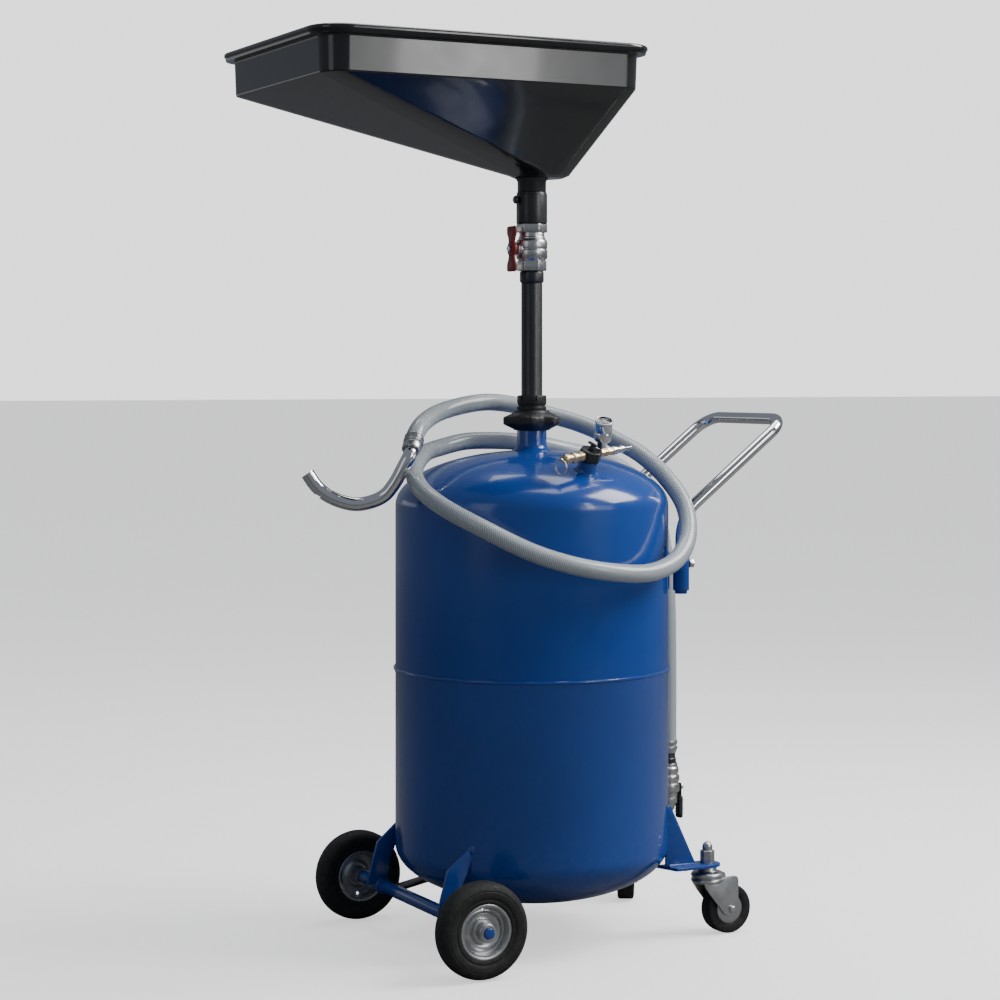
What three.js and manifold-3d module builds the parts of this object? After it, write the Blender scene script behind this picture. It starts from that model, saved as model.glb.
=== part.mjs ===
// Mobile waste-oil drainer: a wheeled steel tank with a telescopic post and a catch pan on top.
// Millimetres, +Z up, +X towards the handle and the casters, the axle along Y. The parts are
// placed about the tank's upright axis, and the whole is then moved so that the origin is the
// middle of its footprint at floor level.
import * as THREE from "three";
import { mergeVertices } from "three/addons/utils/BufferGeometryUtils.js";
import Module from "manifold-3d";

const wasm = await Module();
wasm.setup();

// ---------------------------------------------------------------- driving dimensions
const GAP = 0.3; // air left between pieces that touch
const TANK = { radius: 210, wall: 3, base: 142, shoulder: 661, endRise: 84, seam: 412, sides: 32 };
const NECK = { radius: 22.8, bore: 17.6, foot: 728, top: 790 };
const NUT = { foot: 775.4, top: 806.2, radius: 43.5, lobe: 4.7, lobes: 6, counterbore: 23.2 };
const COLLET = { radius: 22.5, sleeve: 19.4, top: 829.3 };
const POST = { radius: 16.3, bore: 13, foot: 420, top: 1001.5, stopRadius: 23, stopHeight: 9 };
const BUSHING = { radius: 18, top: 1020.3 };
const VALVE = { hexFoot: 1020.6, hexTop: 1036.3, bodyTop: 1079.4, capTop: 1092.7, radius: 24.3,
  bore: 10, ball: 16.5, seat: 17.6, centre: 1054 };
const PAN_COLLAR = { radius: 23.8, bore: 16.4, foot: 1093, top: 1141.2, screwHeight: 1129.6 };
const DRAIN = { radius: 22.1, bore: 12, foot: 1141.5, top: 1163.4 };
const PAN = { left: -422, right: 87, halfWidth: 193, corner: 34, sumpX: 12, sumpHalf: 38, floor: 1163.7,
  wallFoot: 1286, rimFoot: 1337.4, rimTop: 1350, rimReach: 18, wall: 3 };
const WHEELS = { x: -196, y: 218, radius: 70, halfWidth: 18.5, rimRadius: 38.8, bore: 8.2 };
const AXLE = { radius: 10, endRadius: 7.9, shoulder: 193, halfLength: 246 };
const AXLE_BRACKET = { y: 125, thickness: 6, strutRise: 0.19 };
const CASTER = { x: 240, y: 124, plateTop: 110, plate: 5, stud: 12, fork: 18, forkPlate: 3, wheelRadius: 38,
  wheelHalfWidth: 13, trail: 33.5 };
const FAR_CASTER_TURN = 63; // degrees the far caster has swung round from trailing along +X
const HANDLE = { radius: 9, halfWidth: 114, legX: 199, legFoot: 534, kneeZ: 643, barX: 390, barZ: 791 };
const SOCKET = { radius: 12.4, bore: 9.5, foot: 530, top: 592, screwHeight: 571 };
// The air fittings stand square to the dome, so their heights are measured out from its surface.
const AIR = { x: 9, y: -156, turn: 15, stubRadius: 15, stubFoot: -10, stubTop: 18.7, blockRadius: 15.5,
  blockTop: 36, portHeight: 27.5, portReach: 17.2, gaugeReach: 22, gaugeLean: -11, leverHeight: 45,
  pullReach: 61.5, ring: 11 };
const OUTLET = { x: 244, height: 168, pipe: 13, bore: 8, elbowTop: 192, bodyTop: 246, tailTop: 262,
  leverHeight: 207 };
const HOSE_RADIUS = 13.5;
const SPOUT = { radius: 10.4, bore: 8.6 };

// The hose's route, from the outlet's tail up the back, round the dome and over the front.
const HOSE_ROUTE = [
  [244, 0, 262.3], [244, 0, 300], [244, 0, 400], [243, 1, 500], [240, 6, 580], [231, 20, 645],
  [212, 44, 691], [184, 68, 718], [151, 86, 732], [115, 94, 740], [73, 98, 749], [27, 104, 755],
  [-14, 114, 757], [-56, 118, 756], [-103, 106, 748], [-152, 66, 739], [-195, 10, 715],
  [-212, -54, 690], [-204, -111, 667], [-166, -172, 636], [-109, -208, 604], [-50, -229, 584],
  [18, -236, 572], [82, -225, 570], [138, -203, 586], [175, -173, 618], [190, -138, 661], [180, -102, 702],
  [158, -66, 736], [138, -26, 757], [119, 7, 773], [96, 35, 786], [65, 59, 797], [19, 80, 812],
  [-33, 86, 818], [-93, 73, 811], [-150, 44, 797], [-191, 9, 775], [-209, -9, 748],
];
// The pickup spout's centreline, from the hose's end to its open mouth.
const SPOUT_ROUTE = [
  [-209.6, -9.6, 747.1], [-213.6, -13.4, 741], [-223, -12, 723], [-234, -3, 698], [-246, 7, 680],
  [-265, 17, 670], [-287, 29, 667], [-318, 44, 678], [-336, 54, 694], [-348, 60, 713],
];

// ---------------------------------------------------------------- finishes
const finish = (color, roughness, metalness) => () =>
  new THREE.MeshStandardMaterial({ color, roughness, metalness });
const bluePaint = finish(0x1c4a9c, 0.3, 0.2);
const blackPaint = finish(0x16181a, 0.45, 0.2);
const blackPlastic = finish(0x101213, 0.25, 0);
const zinc = finish(0x9a9c9c, 0.4, 0.9);
const chrome = finish(0xc8cacc, 0.12, 1);
const brass = finish(0xb08d55, 0.35, 0.9);
const redPlastic = finish(0xb01c1c, 0.4, 0);
const rubber = finish(0x1b1c1d, 0.8, 0);
const clearHose = finish(0xc9d2d8, 0.35, 0);
const glass = finish(0xe4ecef, 0.05, 0);

// ---------------------------------------------------------------- geometry helpers

// Leaves one closed skin of shared corners with its faces pointing out.
function closed(geometry) {
  geometry.deleteAttribute("normal");
  geometry.deleteAttribute("uv");
  const merged = mergeVertices(geometry, 1e-4);
  const index = merged.index.array;
  const place = merged.attributes.position;
  const kept = [];
  let volume = 0;
  const [a, b, c] = [new THREE.Vector3(), new THREE.Vector3(), new THREE.Vector3()];
  for (let i = 0; i < index.length; i += 3) {
    const [p, q, r] = [index[i], index[i + 1], index[i + 2]];
    if (p === q || q === r || r === p) continue;
    kept.push(p, q, r);
    a.fromBufferAttribute(place, p);
    b.fromBufferAttribute(place, q);
    c.fromBufferAttribute(place, r);
    volume += a.dot(b.cross(c));
  }
  if (volume < 0) {
    for (let i = 0; i < kept.length; i += 3) {
      [kept[i], kept[i + 1]] = [kept[i + 1], kept[i]];
    }
  }
  merged.setIndex(kept);
  return merged;
}

function toSolid(geometry) {
  const skin = closed(geometry);
  return new wasm.Manifold(new wasm.Mesh({
    numProp: 3,
    vertProperties: new Float32Array(skin.attributes.position.array),
    triVerts: new Uint32Array(skin.index.array),
  }));
}

function toGeometry(solid) {
  const mesh = solid.getMesh();
  const geometry = new THREE.BufferGeometry();
  geometry.setAttribute("position", new THREE.BufferAttribute(mesh.vertProperties, 3));
  geometry.setIndex(new THREE.BufferAttribute(mesh.triVerts, 1));
  return geometry;
}

const cut = (geometry, ...tools) =>
  toGeometry(tools.reduce((solid, tool) => solid.subtract(toSolid(tool)), toSolid(geometry)));
const join = (...pieces) => toGeometry(pieces.map(toSolid).reduce((all, piece) => all.add(piece)));

// A solid of revolution about Z from [radius, height] pairs that start and end on the axis.
function turned(profile, sides = 20) {
  const points = profile.map(([radius, height]) => new THREE.Vector2(radius, height));
  return closed(new THREE.LatheGeometry(points, sides).rotateX(Math.PI / 2));
}

// A turned ring, whose profile closes on itself.
const ring = (profile, sides = 20) => turned([...profile, profile[0]], sides);
const sleeve = (bore, radius, foot, top, sides = 20) =>
  ring([[bore, foot], [radius, foot], [radius, top], [bore, top]], sides);
const disc = (radius, foot, top, sides = 20) =>
  turned([[0, foot], [radius, foot], [radius, top], [0, top]], sides);

function plate(outline, thickness) {
  const shape = new THREE.Shape(outline.map(([x, y]) => new THREE.Vector2(x, y)));
  return closed(new THREE.ExtrudeGeometry(shape, { depth: thickness, bevelEnabled: false }));
}

// A plate that stands in the XZ plane, its thickness centred on y.
const uprightPlate = (outline, thickness, y) =>
  plate(outline, thickness).rotateX(Math.PI / 2).translate(0, y + thickness / 2, 0);

const hexagon = (acrossFlats) => Array.from({ length: 6 }, (_, i) => {
  const angle = (i + 0.5) * Math.PI / 3;
  const radius = acrossFlats / 2 / Math.cos(Math.PI / 6);
  return [radius * Math.cos(angle), radius * Math.sin(angle)];
});
const hexBlock = (acrossFlats, foot, top) => plate(hexagon(acrossFlats), top - foot).translate(0, 0, foot);

const block = (sizeX, sizeY, sizeZ, x, y, z) =>
  closed(new THREE.BoxGeometry(sizeX, sizeY, sizeZ).translate(x, y, z));

const circleShape = (radius, sides) => {
  const points = Array.from({ length: sides }, (_, i) => {
    const angle = 2 * Math.PI * i / sides;
    return new THREE.Vector2(radius * Math.cos(angle), radius * Math.sin(angle));
  });
  return new THREE.Shape(points);
};

function swept(path, radius, sides, steps, bore = 0) {
  const section = circleShape(radius, sides);
  if (bore > 0) section.holes.push(new THREE.Path(circleShape(bore, sides).getPoints()));
  return closed(new THREE.ExtrudeGeometry(section, { steps, extrudePath: path, bevelEnabled: false }));
}

const curveThrough = (route) =>
  new THREE.CatmullRomCurve3(route.map((point) => new THREE.Vector3(...point)), false, "centripetal");

// Straight lengths joined by bends, as a pipe bender makes them.
function bentPath(corners, bends) {
  const points = corners.map((corner) => new THREE.Vector3(...corner));
  const path = new THREE.CurvePath();
  let from = points[0];
  for (let i = 1; i < points.length - 1; i += 1) {
    const before = points[i - 1].clone().sub(points[i]).normalize();
    const after = points[i + 1].clone().sub(points[i]).normalize();
    const start = points[i].clone().addScaledVector(before, bends[i - 1]);
    const end = points[i].clone().addScaledVector(after, bends[i - 1]);
    path.add(new THREE.LineCurve3(from, start));
    path.add(new THREE.QuadraticBezierCurve3(start, points[i], end));
    from = end;
  }
  path.add(new THREE.LineCurve3(from, points[points.length - 1]));
  return path;
}

// A corner-rounded rectangle as a ring of points, the same count whatever its size.
function roundedRectangle(x, y, halfX, halfY, corner, perCorner = 5) {
  const radius = Math.min(corner, halfX, halfY);
  const points = [];
  [[1, 1], [-1, 1], [-1, -1], [1, -1]].forEach(([signX, signY], quarter) => {
    for (let i = 0; i <= perCorner; i += 1) {
      const angle = (quarter + i / perCorner) * Math.PI / 2;
      points.push([
        x + signX * (halfX - radius) + radius * Math.cos(angle),
        y + signY * (halfY - radius) + radius * Math.sin(angle),
      ]);
    }
  });
  return points;
}

// A skin over a stack of rings of equal point count, the last joined back to the first.
function ringLoft(rings) {
  const count = rings[0].outline.length;
  const vertices = rings.flatMap(({ outline, z }) => outline.flatMap(([x, y]) => [x, y, z]));
  const index = [];
  rings.forEach((_, row) => {
    const next = (row + 1) % rings.length;
    for (let i = 0; i < count; i += 1) {
      const j = (i + 1) % count;
      const [a, b, c, d] = [row * count + i, row * count + j, next * count + j, next * count + i];
      index.push(a, b, c, a, c, d);
    }
  });
  const geometry = new THREE.BufferGeometry();
  geometry.setAttribute("position", new THREE.Float32BufferAttribute(vertices, 3));
  geometry.setIndex(index);
  return closed(geometry);
}

// ---------------------------------------------------------------- scene helpers
const drainer = new THREE.Group();
const cordPieces = new Set();

function add(name, geometry, material, parent = drainer) {
  const mesh = new THREE.Mesh(geometry, material());
  mesh.name = name;
  parent.add(mesh);
  return mesh;
}

const sides = [{ name: "left", sign: -1 }, { name: "right", sign: 1 }];

// ---------------------------------------------------------------- tank

// Points of a dished end from the cylinder's edge to a given radius near the axis.
function dishedEnd(radius, rise, edge, direction, innerRadius = 0, steps = 5) {
  const last = Math.acos(innerRadius / radius);
  return Array.from({ length: steps + 1 }, (_, i) => {
    const angle = last * i / steps;
    const reach = i === steps ? innerRadius : radius * Math.cos(angle);
    return [reach, edge + direction * rise * Math.sin(angle)];
  });
}

// The tank's outside, grown a little, as a cutter for what is welded to it.
function tankEnvelope() {
  const radius = TANK.radius + GAP;
  const rise = TANK.endRise + GAP;
  return turned([
    ...dishedEnd(radius, rise, TANK.base, -1).reverse(),
    ...dishedEnd(radius, rise, TANK.shoulder, 1),
  ], TANK.sides);
}

function makeTank() {
  const inner = TANK.radius - TANK.wall;
  const innerRise = TANK.endRise - TANK.wall;
  const lower = turned([
    ...dishedEnd(TANK.radius, TANK.endRise, TANK.base, -1).reverse(),
    [TANK.radius, TANK.seam - GAP / 2], [inner, TANK.seam - GAP / 2],
    ...dishedEnd(inner, innerRise, TANK.base, -1),
  ], TANK.sides);
  const outletHole = disc(OUTLET.pipe + GAP, -60, 60).rotateY(Math.PI / 2)
    .translate(TANK.radius, 0, OUTLET.height);
  add("tank_lower_shell", cut(lower, outletHole), bluePaint);
  const hole = NECK.radius + GAP;
  const upper = ring([
    [inner, TANK.seam + GAP / 2], [TANK.radius, TANK.seam + GAP / 2],
    ...dishedEnd(TANK.radius, TANK.endRise, TANK.shoulder, 1, hole),
    ...dishedEnd(inner, innerRise, TANK.shoulder, 1, hole).reverse(),
  ], TANK.sides);
  const airHole = disc(AIR.stubRadius + GAP, -60, 60).applyMatrix4(airFrame());
  add("tank_upper_shell", cut(upper, airHole), bluePaint);
  const beadIn = TANK.radius + GAP;
  add("seam_weld", sleeve(beadIn, beadIn + 2.6, TANK.seam - 2.5, TANK.seam + 2.5, TANK.sides), bluePaint);
  add("neck_pipe", sleeve(NECK.bore, NECK.radius, NECK.foot, NECK.top), bluePaint);
}

// ---------------------------------------------------------------- telescopic post
function makePostClamp() {
  const outline = Array.from({ length: 48 }, (_, i) => {
    const angle = 2 * Math.PI * i / 48;
    const radius = NUT.radius + NUT.lobe * Math.cos(NUT.lobes * angle);
    return [radius * Math.cos(angle), radius * Math.sin(angle)];
  });
  const star = plate(outline, NUT.top - NUT.foot).translate(0, 0, NUT.foot);
  const threads = disc(NUT.counterbore, NUT.foot - 5, NECK.top + GAP);
  const way = disc(COLLET.sleeve + GAP, NUT.foot, NUT.top + 5);
  add("locking_nut", cut(star, threads, way), blackPlastic);
  add("collet", ring([
    [POST.radius + GAP, NECK.top + 2 * GAP], [COLLET.sleeve, NECK.top + 2 * GAP],
    [COLLET.sleeve, NUT.top + GAP], [COLLET.radius, NUT.top + GAP],
    [COLLET.radius, COLLET.top], [POST.radius + GAP, COLLET.top],
  ]), blackPlastic);
}

function makePost() {
  const collarTop = POST.foot + POST.stopHeight;
  add("post_tube", ring([
    [POST.bore, POST.foot], [POST.stopRadius, POST.foot], [POST.stopRadius, collarTop],
    [POST.radius, collarTop], [POST.radius, POST.top], [POST.bore, POST.top],
  ]), blackPaint);
  add("post_bushing", sleeve(9, BUSHING.radius, POST.top + GAP, BUSHING.top), blackPaint);
}

// ---------------------------------------------------------------- drain valve
const sphere = (radius, x, y, z) => closed(new THREE.SphereGeometry(radius, 16, 8).translate(x, y, z));

function makeValve() {
  const barrel = turned([
    [0, VALVE.hexTop - 2], [20.4, VALVE.hexTop - 2], [20.4, 1039], [22, 1041], [22, 1044],
    [VALVE.radius, 1046], [VALVE.radius, 1063], [22.6, 1065], [22.6, 1068], [23.6, 1070],
    [23.6, VALVE.bodyTop], [0, VALVE.bodyTop],
  ], 16);
  const hex = hexBlock(40, VALVE.hexFoot, VALVE.hexTop);
  const neck = disc(11, -30, 0, 20).rotateY(Math.PI / 2).translate(0, 0, VALVE.centre);
  const bore = disc(VALVE.bore, VALVE.hexFoot - 5, VALVE.bodyTop + 5, 20);
  const seat = sphere(VALVE.seat, 0, 0, VALVE.centre);
  const mouth = disc(VALVE.seat, VALVE.centre, VALVE.bodyTop + 5);
  const stemWay = disc(4.6, -40, 0, 16).rotateY(Math.PI / 2).translate(0, 0, VALVE.centre);
  add("valve_body", cut(join(barrel, hex, neck), bore, seat, mouth, stemWay), chrome);

  const insert = sleeve(VALVE.bore, VALVE.seat - GAP, VALVE.centre + 15.4, VALVE.bodyTop + GAP);
  const cap = hexBlock(43, VALVE.bodyTop + GAP, VALVE.capTop);
  const nipple = disc(PAN_COLLAR.bore - GAP, VALVE.capTop - 2, PAN_COLLAR.top - 12);
  const way = disc(VALVE.bore, VALVE.centre, PAN_COLLAR.top, 20);
  const room = sphere(VALVE.seat, 0, 0, VALVE.centre);
  add("valve_end", cut(join(insert, cap, nipple), way, room), chrome);

  const ball = cut(
    join(sphere(VALVE.ball, 0, 0, VALVE.centre),
      disc(4.2, -42, -10, 16).rotateY(Math.PI / 2).translate(0, 0, VALVE.centre)),
    disc(VALVE.bore, VALVE.centre - 30, VALVE.centre + 30, 20),
  );
  add("valve_ball", ball, chrome);
  makeButterflyLever();
}

function makeButterflyLever() {
  const wing = [
    [0, -10], [9, -11], [13, -20], [14, -32], [8, -37], [-8, -37], [-14, -32], [-13, -20], [-9, -11],
    [-10, 0], [-9, 11], [-13, 20], [-14, 31], [-8, 35], [8, 35], [14, 31], [13, 20], [9, 11], [10, 0],
    [9, -8],
  ];
  const lever = plate(wing, 5).rotateY(-Math.PI / 2).rotateX(Math.PI / 2);
  const hub = disc(9, -36.5, -30.5, 20).rotateY(Math.PI / 2);
  const way = disc(4.5, -60, 0, 16).rotateY(Math.PI / 2);
  const leverAt = lever.translate(-31, 0, 0);
  add("valve_lever", cut(join(leverAt, hub), way).translate(0, 0, VALVE.centre), redPlastic);
  const nut = cut(
    plate(hexagon(12), 5).rotateY(-Math.PI / 2).translate(-36.8, 0, 0),
    disc(4.5, -60, 0, 16).rotateY(Math.PI / 2),
  );
  add("valve_lever_nut", nut.translate(0, 0, VALVE.centre), zinc);
}

// ---------------------------------------------------------------- pan
function makePanMount() {
  const collar = sleeve(PAN_COLLAR.bore, PAN_COLLAR.radius, PAN_COLLAR.foot, PAN_COLLAR.top);
  const hole = disc(3.3, -40, 0, 12).rotateY(Math.PI / 2).translate(0, 0, PAN_COLLAR.screwHeight);
  add("pan_collar", cut(collar, hole), blackPaint);
  const shank = disc(3, -24, -16.6, 12).rotateY(Math.PI / 2);
  const head = disc(6.5, -31, -24, 16).rotateY(Math.PI / 2);
  add("pan_clamp_screw", join(shank, head).translate(0, 0, PAN_COLLAR.screwHeight), blackPaint);
  add("drain_tube", sleeve(DRAIN.bore, DRAIN.radius, DRAIN.foot, DRAIN.top), blackPaint);
}

function makePan() {
  const middle = (PAN.left + PAN.right) / 2;
  const halfLength = (PAN.right - PAN.left) / 2;
  const rim = (grow, z) => ({
    z, outline: roundedRectangle(middle, 0, halfLength + grow, PAN.halfWidth + grow, PAN.corner + grow),
  });
  const sump = (half, z) => ({ z, outline: roundedRectangle(PAN.sumpX, 0, half, half, half) });
  const drainHole = (z) => ({ z, outline: roundedRectangle(0, 0, DRAIN.bore, DRAIN.bore, DRAIN.bore) });
  add("drain_pan", ringLoft([
    drainHole(PAN.floor), sump(PAN.sumpHalf, PAN.floor), sump(PAN.sumpHalf + 9, PAN.floor + 4),
    rim(0, PAN.wallFoot), rim(2, PAN.rimFoot), rim(PAN.rimReach, PAN.rimFoot),
    rim(PAN.rimReach, PAN.rimTop - 3), rim(PAN.rimReach - 4, PAN.rimTop), rim(2 - PAN.wall, PAN.rimTop),
    rim(-PAN.wall, PAN.wallFoot + 2), sump(PAN.sumpHalf + 6, PAN.floor + 7.5),
    sump(PAN.sumpHalf - 2, PAN.floor + PAN.wall),
    drainHole(PAN.floor + PAN.wall),
  ]), blackPlastic);
  const holes = Array.from({ length: 6 }, (_, i) => {
    const angle = i * Math.PI / 3;
    return disc(4.5, -5, 5, 10).translate(17 * Math.cos(angle), 17 * Math.sin(angle), 0);
  });
  const strainer = cut(disc(27, 0, 1.5), disc(4.5, -5, 5, 10), ...holes);
  add("pan_strainer", strainer.translate(PAN.sumpX - 4, 0, PAN.floor + PAN.wall + GAP), zinc);
}

// ---------------------------------------------------------------- air fittings

// The frame of the air fittings: Z square to the dome, X along the line of the ports.
function airFrame() {
  const fromAxis = (AIR.x ** 2 + AIR.y ** 2) / TANK.radius ** 2;
  const rise = TANK.endRise * Math.sqrt(1 - fromAxis);
  const outward = new THREE.Vector3(
    AIR.x / TANK.radius ** 2, AIR.y / TANK.radius ** 2, rise / TANK.endRise ** 2,
  ).normalize();
  const level = new THREE.Vector3(0, 0, 1).cross(outward).normalize();
  const uphill = outward.clone().cross(level);
  return new THREE.Matrix4().makeBasis(level, uphill, outward)
    .setPosition(AIR.x, AIR.y, TANK.shoulder + rise)
    .multiply(new THREE.Matrix4().makeRotationZ(AIR.turn * Math.PI / 180));
}

function makeAirFittings() {
  const fittings = new THREE.Group();
  fittings.applyMatrix4(airFrame());
  drainer.add(fittings);
  add("air_stub", sleeve(7, AIR.stubRadius, AIR.stubFoot, AIR.stubTop), bluePaint, fittings);
  const port = disc(4.2, -40, 40, 14).rotateY(Math.PI / 2).translate(0, 0, AIR.portHeight);
  const spindleWay = disc(3.3, AIR.portHeight, AIR.blockTop + 5, 14);
  const manifold = hexBlock(2 * AIR.blockRadius, AIR.stubTop + GAP, AIR.blockTop);
  add("air_manifold", cut(manifold, port, spindleWay), blackPaint, fittings);
  const bar = block(6, 17, 3, 0, 0, AIR.leverHeight);
  add("shutoff_lever", join(disc(3, AIR.portHeight, AIR.leverHeight, 14), bar), blackPaint, fittings);
  makeSafetyValve(fittings);
  makeAirInlet(fittings);
  makeGauge(fittings);
}

// Turned pieces laid along X: the profile's height becomes the distance from the block's middle.
const alongX = (geometry, direction) =>
  geometry.rotateY(direction * Math.PI / 2).translate(0, 0, AIR.portHeight);

function makeSafetyValve(fittings) {
  const reach = AIR.portReach;
  add("safety_valve", alongX(ring([
    [3.4, reach], [8.2, reach], [8.2, reach + 23], [7.2, reach + 24], [7.2, reach + 26], [8, reach + 27],
    [8, reach + 37], [6, reach + 41], [3.4, reach + 41],
  ]), -1), brass, fittings);
  const pin = alongX(disc(3, reach + 5, AIR.pullReach + 2, 12), -1);
  const frame = airFrame();
  const end = new THREE.Vector3(-AIR.pullReach, 0, AIR.portHeight).applyMatrix4(frame);
  const along = new THREE.Vector3().setFromMatrixColumn(frame, 0);
  const eye = closed(new THREE.TorusGeometry(AIR.ring, 1.1, 6, 18)).rotateY(Math.PI / 2)
    .rotateZ(Math.atan2(along.y, along.x)).translate(end.x, end.y, end.z - AIR.ring + 0.5)
    .applyMatrix4(frame.invert());
  add("safety_pull_ring", join(pin, eye), zinc, fittings);
}

function makeAirInlet(fittings) {
  const reach = AIR.portReach;
  const body = ring([
    [2.6, reach], [7, reach], [7, reach + 12], [6.2, reach + 13], [6.2, reach + 16], [7, reach + 17],
    [7, reach + 29], [2.6, reach + 29],
  ], 16);
  const gaugeWay = disc(2.3, 0, 30, 10).rotateY(-Math.PI / 2).translate(0, 0, AIR.gaugeReach);
  add("inlet_tee", alongX(cut(body, gaugeWay), 1), brass, fittings);
  add("air_plug", alongX(ring([
    [2.2, reach + 29.3], [6.5, reach + 29.3], [6.5, reach + 40], [5, reach + 41], [5, reach + 47],
    [6, reach + 48], [6, reach + 54], [3.8, reach + 56], [3.8, reach + 71], [2.2, reach + 71],
  ], 16), 1), chrome, fittings);
}

function makeGauge(fittings) {
  const gauge = new THREE.Group();
  gauge.position.set(AIR.gaugeReach, 0, AIR.portHeight + 7);
  gauge.rotation.y = AIR.gaugeLean * Math.PI / 180;
  fittings.add(gauge);
  add("gauge_case", turned([
    [0, 1.6], [4.2, 1.6], [4.2, 3], [7.2, 3], [7.2, 15], [13, 16], [13, 30], [11.6, 31], [12.6, 32],
    [12.6, 45], [13.4, 46], [13.4, 48.5], [11.6, 48.5], [11.6, 43], [0, 43],
  ]), chrome, gauge);
  const needle = plate([[-0.9, -4], [0.9, -4], [0.5, 9], [-0.5, 9]], 0.6);
  add("gauge_needle", needle.translate(0, 0, 44), blackPaint, gauge);
  add("gauge_glass", disc(11.2, 45.4, 47), glass, gauge);
}

// ---------------------------------------------------------------- handle
function makeHandle() {
  const legs = (sign, z) => [HANDLE.legX, sign * HANDLE.halfWidth, z];
  const bar = (sign) => [HANDLE.barX, sign * HANDLE.halfWidth, HANDLE.barZ];
  const path = bentPath([
    legs(-1, HANDLE.legFoot), legs(-1, HANDLE.kneeZ), bar(-1), bar(1), legs(1, HANDLE.kneeZ),
    legs(1, HANDLE.legFoot),
  ], [34, 36, 36, 34]);
  add("handle_tube", swept(path, HANDLE.radius, 8, 46), chrome);
  const envelope = tankEnvelope();
  for (const { name, sign } of sides) {
    const y = sign * HANDLE.halfWidth;
    const socket = disc(SOCKET.radius, SOCKET.foot, SOCKET.top, 24).translate(HANDLE.legX, y, 0);
    const bearing = Math.atan2(y, HANDLE.legX);
    const web = block(34, 6, SOCKET.top - SOCKET.foot, 0, 0, 0).rotateZ(bearing)
      .translate(209 * Math.cos(bearing), 209 * Math.sin(bearing), (SOCKET.top + SOCKET.foot) / 2);
    const bore = disc(SOCKET.bore, SOCKET.foot - 5, SOCKET.top + 5, 24).translate(HANDLE.legX, y, 0);
    const screwHole = disc(3.3, 0, 40, 12).rotateY(Math.PI / 2)
      .translate(HANDLE.legX, y, SOCKET.screwHeight);
    add(`handle_socket_${name}`, cut(join(socket, web), envelope, bore, screwHole), bluePaint);
    const shank = disc(3, 9.3, 14, 12).rotateY(Math.PI / 2);
    const head = plate(hexagon(13), 7).rotateY(Math.PI / 2).translate(14, 0, 0);
    add(`handle_screw_${name}`, join(shank, head).translate(HANDLE.legX, y, SOCKET.screwHeight), zinc);
  }
}

// ---------------------------------------------------------------- fixed wheels
function makeAxle() {
  const half = AXLE.halfLength;
  add("axle", turned([
    [0, -half], [AXLE.endRadius, -half], [AXLE.endRadius, -AXLE.shoulder], [AXLE.radius, -AXLE.shoulder],
    [AXLE.radius, AXLE.shoulder], [AXLE.endRadius, AXLE.shoulder], [AXLE.endRadius, half], [0, half],
  ], 24).rotateX(Math.PI / 2).translate(WHEELS.x, 0, WHEELS.radius), bluePaint);
  const envelope = tankEnvelope();
  const axleWay = disc(AXLE.radius + GAP, -half, half, 24).rotateX(Math.PI / 2)
    .translate(WHEELS.x, 0, WHEELS.radius);
  const outline = [
    [-222, 74], [-216, 100], [-205, 138], [-175, 164], [-168, 170], [-158, 170], [-170, 140], [-183, 112],
    [-186, 74],
  ];
  for (const { name, sign } of sides) {
    const gusset = uprightPlate(outline, AXLE_BRACKET.thickness, sign * AXLE_BRACKET.y);
    add(`axle_bracket_${name}`, cut(gusset, envelope, axleWay), bluePaint);
  }
  const strut = block(96, 30, 5, 0, 0, 0).rotateY(-AXLE_BRACKET.strutRise).translate(-142, 98, 78);
  add("axle_strut", cut(strut, envelope, axleWay), blackPaint);
}

function makeFixedWheel({ name, sign }) {
  const wheel = new THREE.Group();
  wheel.position.set(WHEELS.x, sign * WHEELS.y, WHEELS.radius);
  wheel.rotation.x = -sign * Math.PI / 2;
  drainer.add(wheel);
  const r = WHEELS.rimRadius;
  add(`rim_${name}`, ring([
    [WHEELS.bore, -21], [13, -21], [13, -4], [33, -4], [33, -15], [r, -15], [r, 15], [33, 15], [33, 4],
    [13, 4], [13, 22], [WHEELS.bore, 22],
  ]), zinc, wheel);
  const w = WHEELS.halfWidth;
  add(`tyre_${name}`, ring([
    [r + GAP, -15], [50, -w], [60, -w], [66, -14], [WHEELS.radius, -6], [WHEELS.radius, 6], [66, 14],
    [60, w], [50, w], [r + GAP, 15],
  ], 28), rubber, wheel);
  add(`axle_washer_${name}`, sleeve(AXLE.endRadius + GAP, 12, 22.3, 24.8, 24), zinc, wheel);
}

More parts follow.
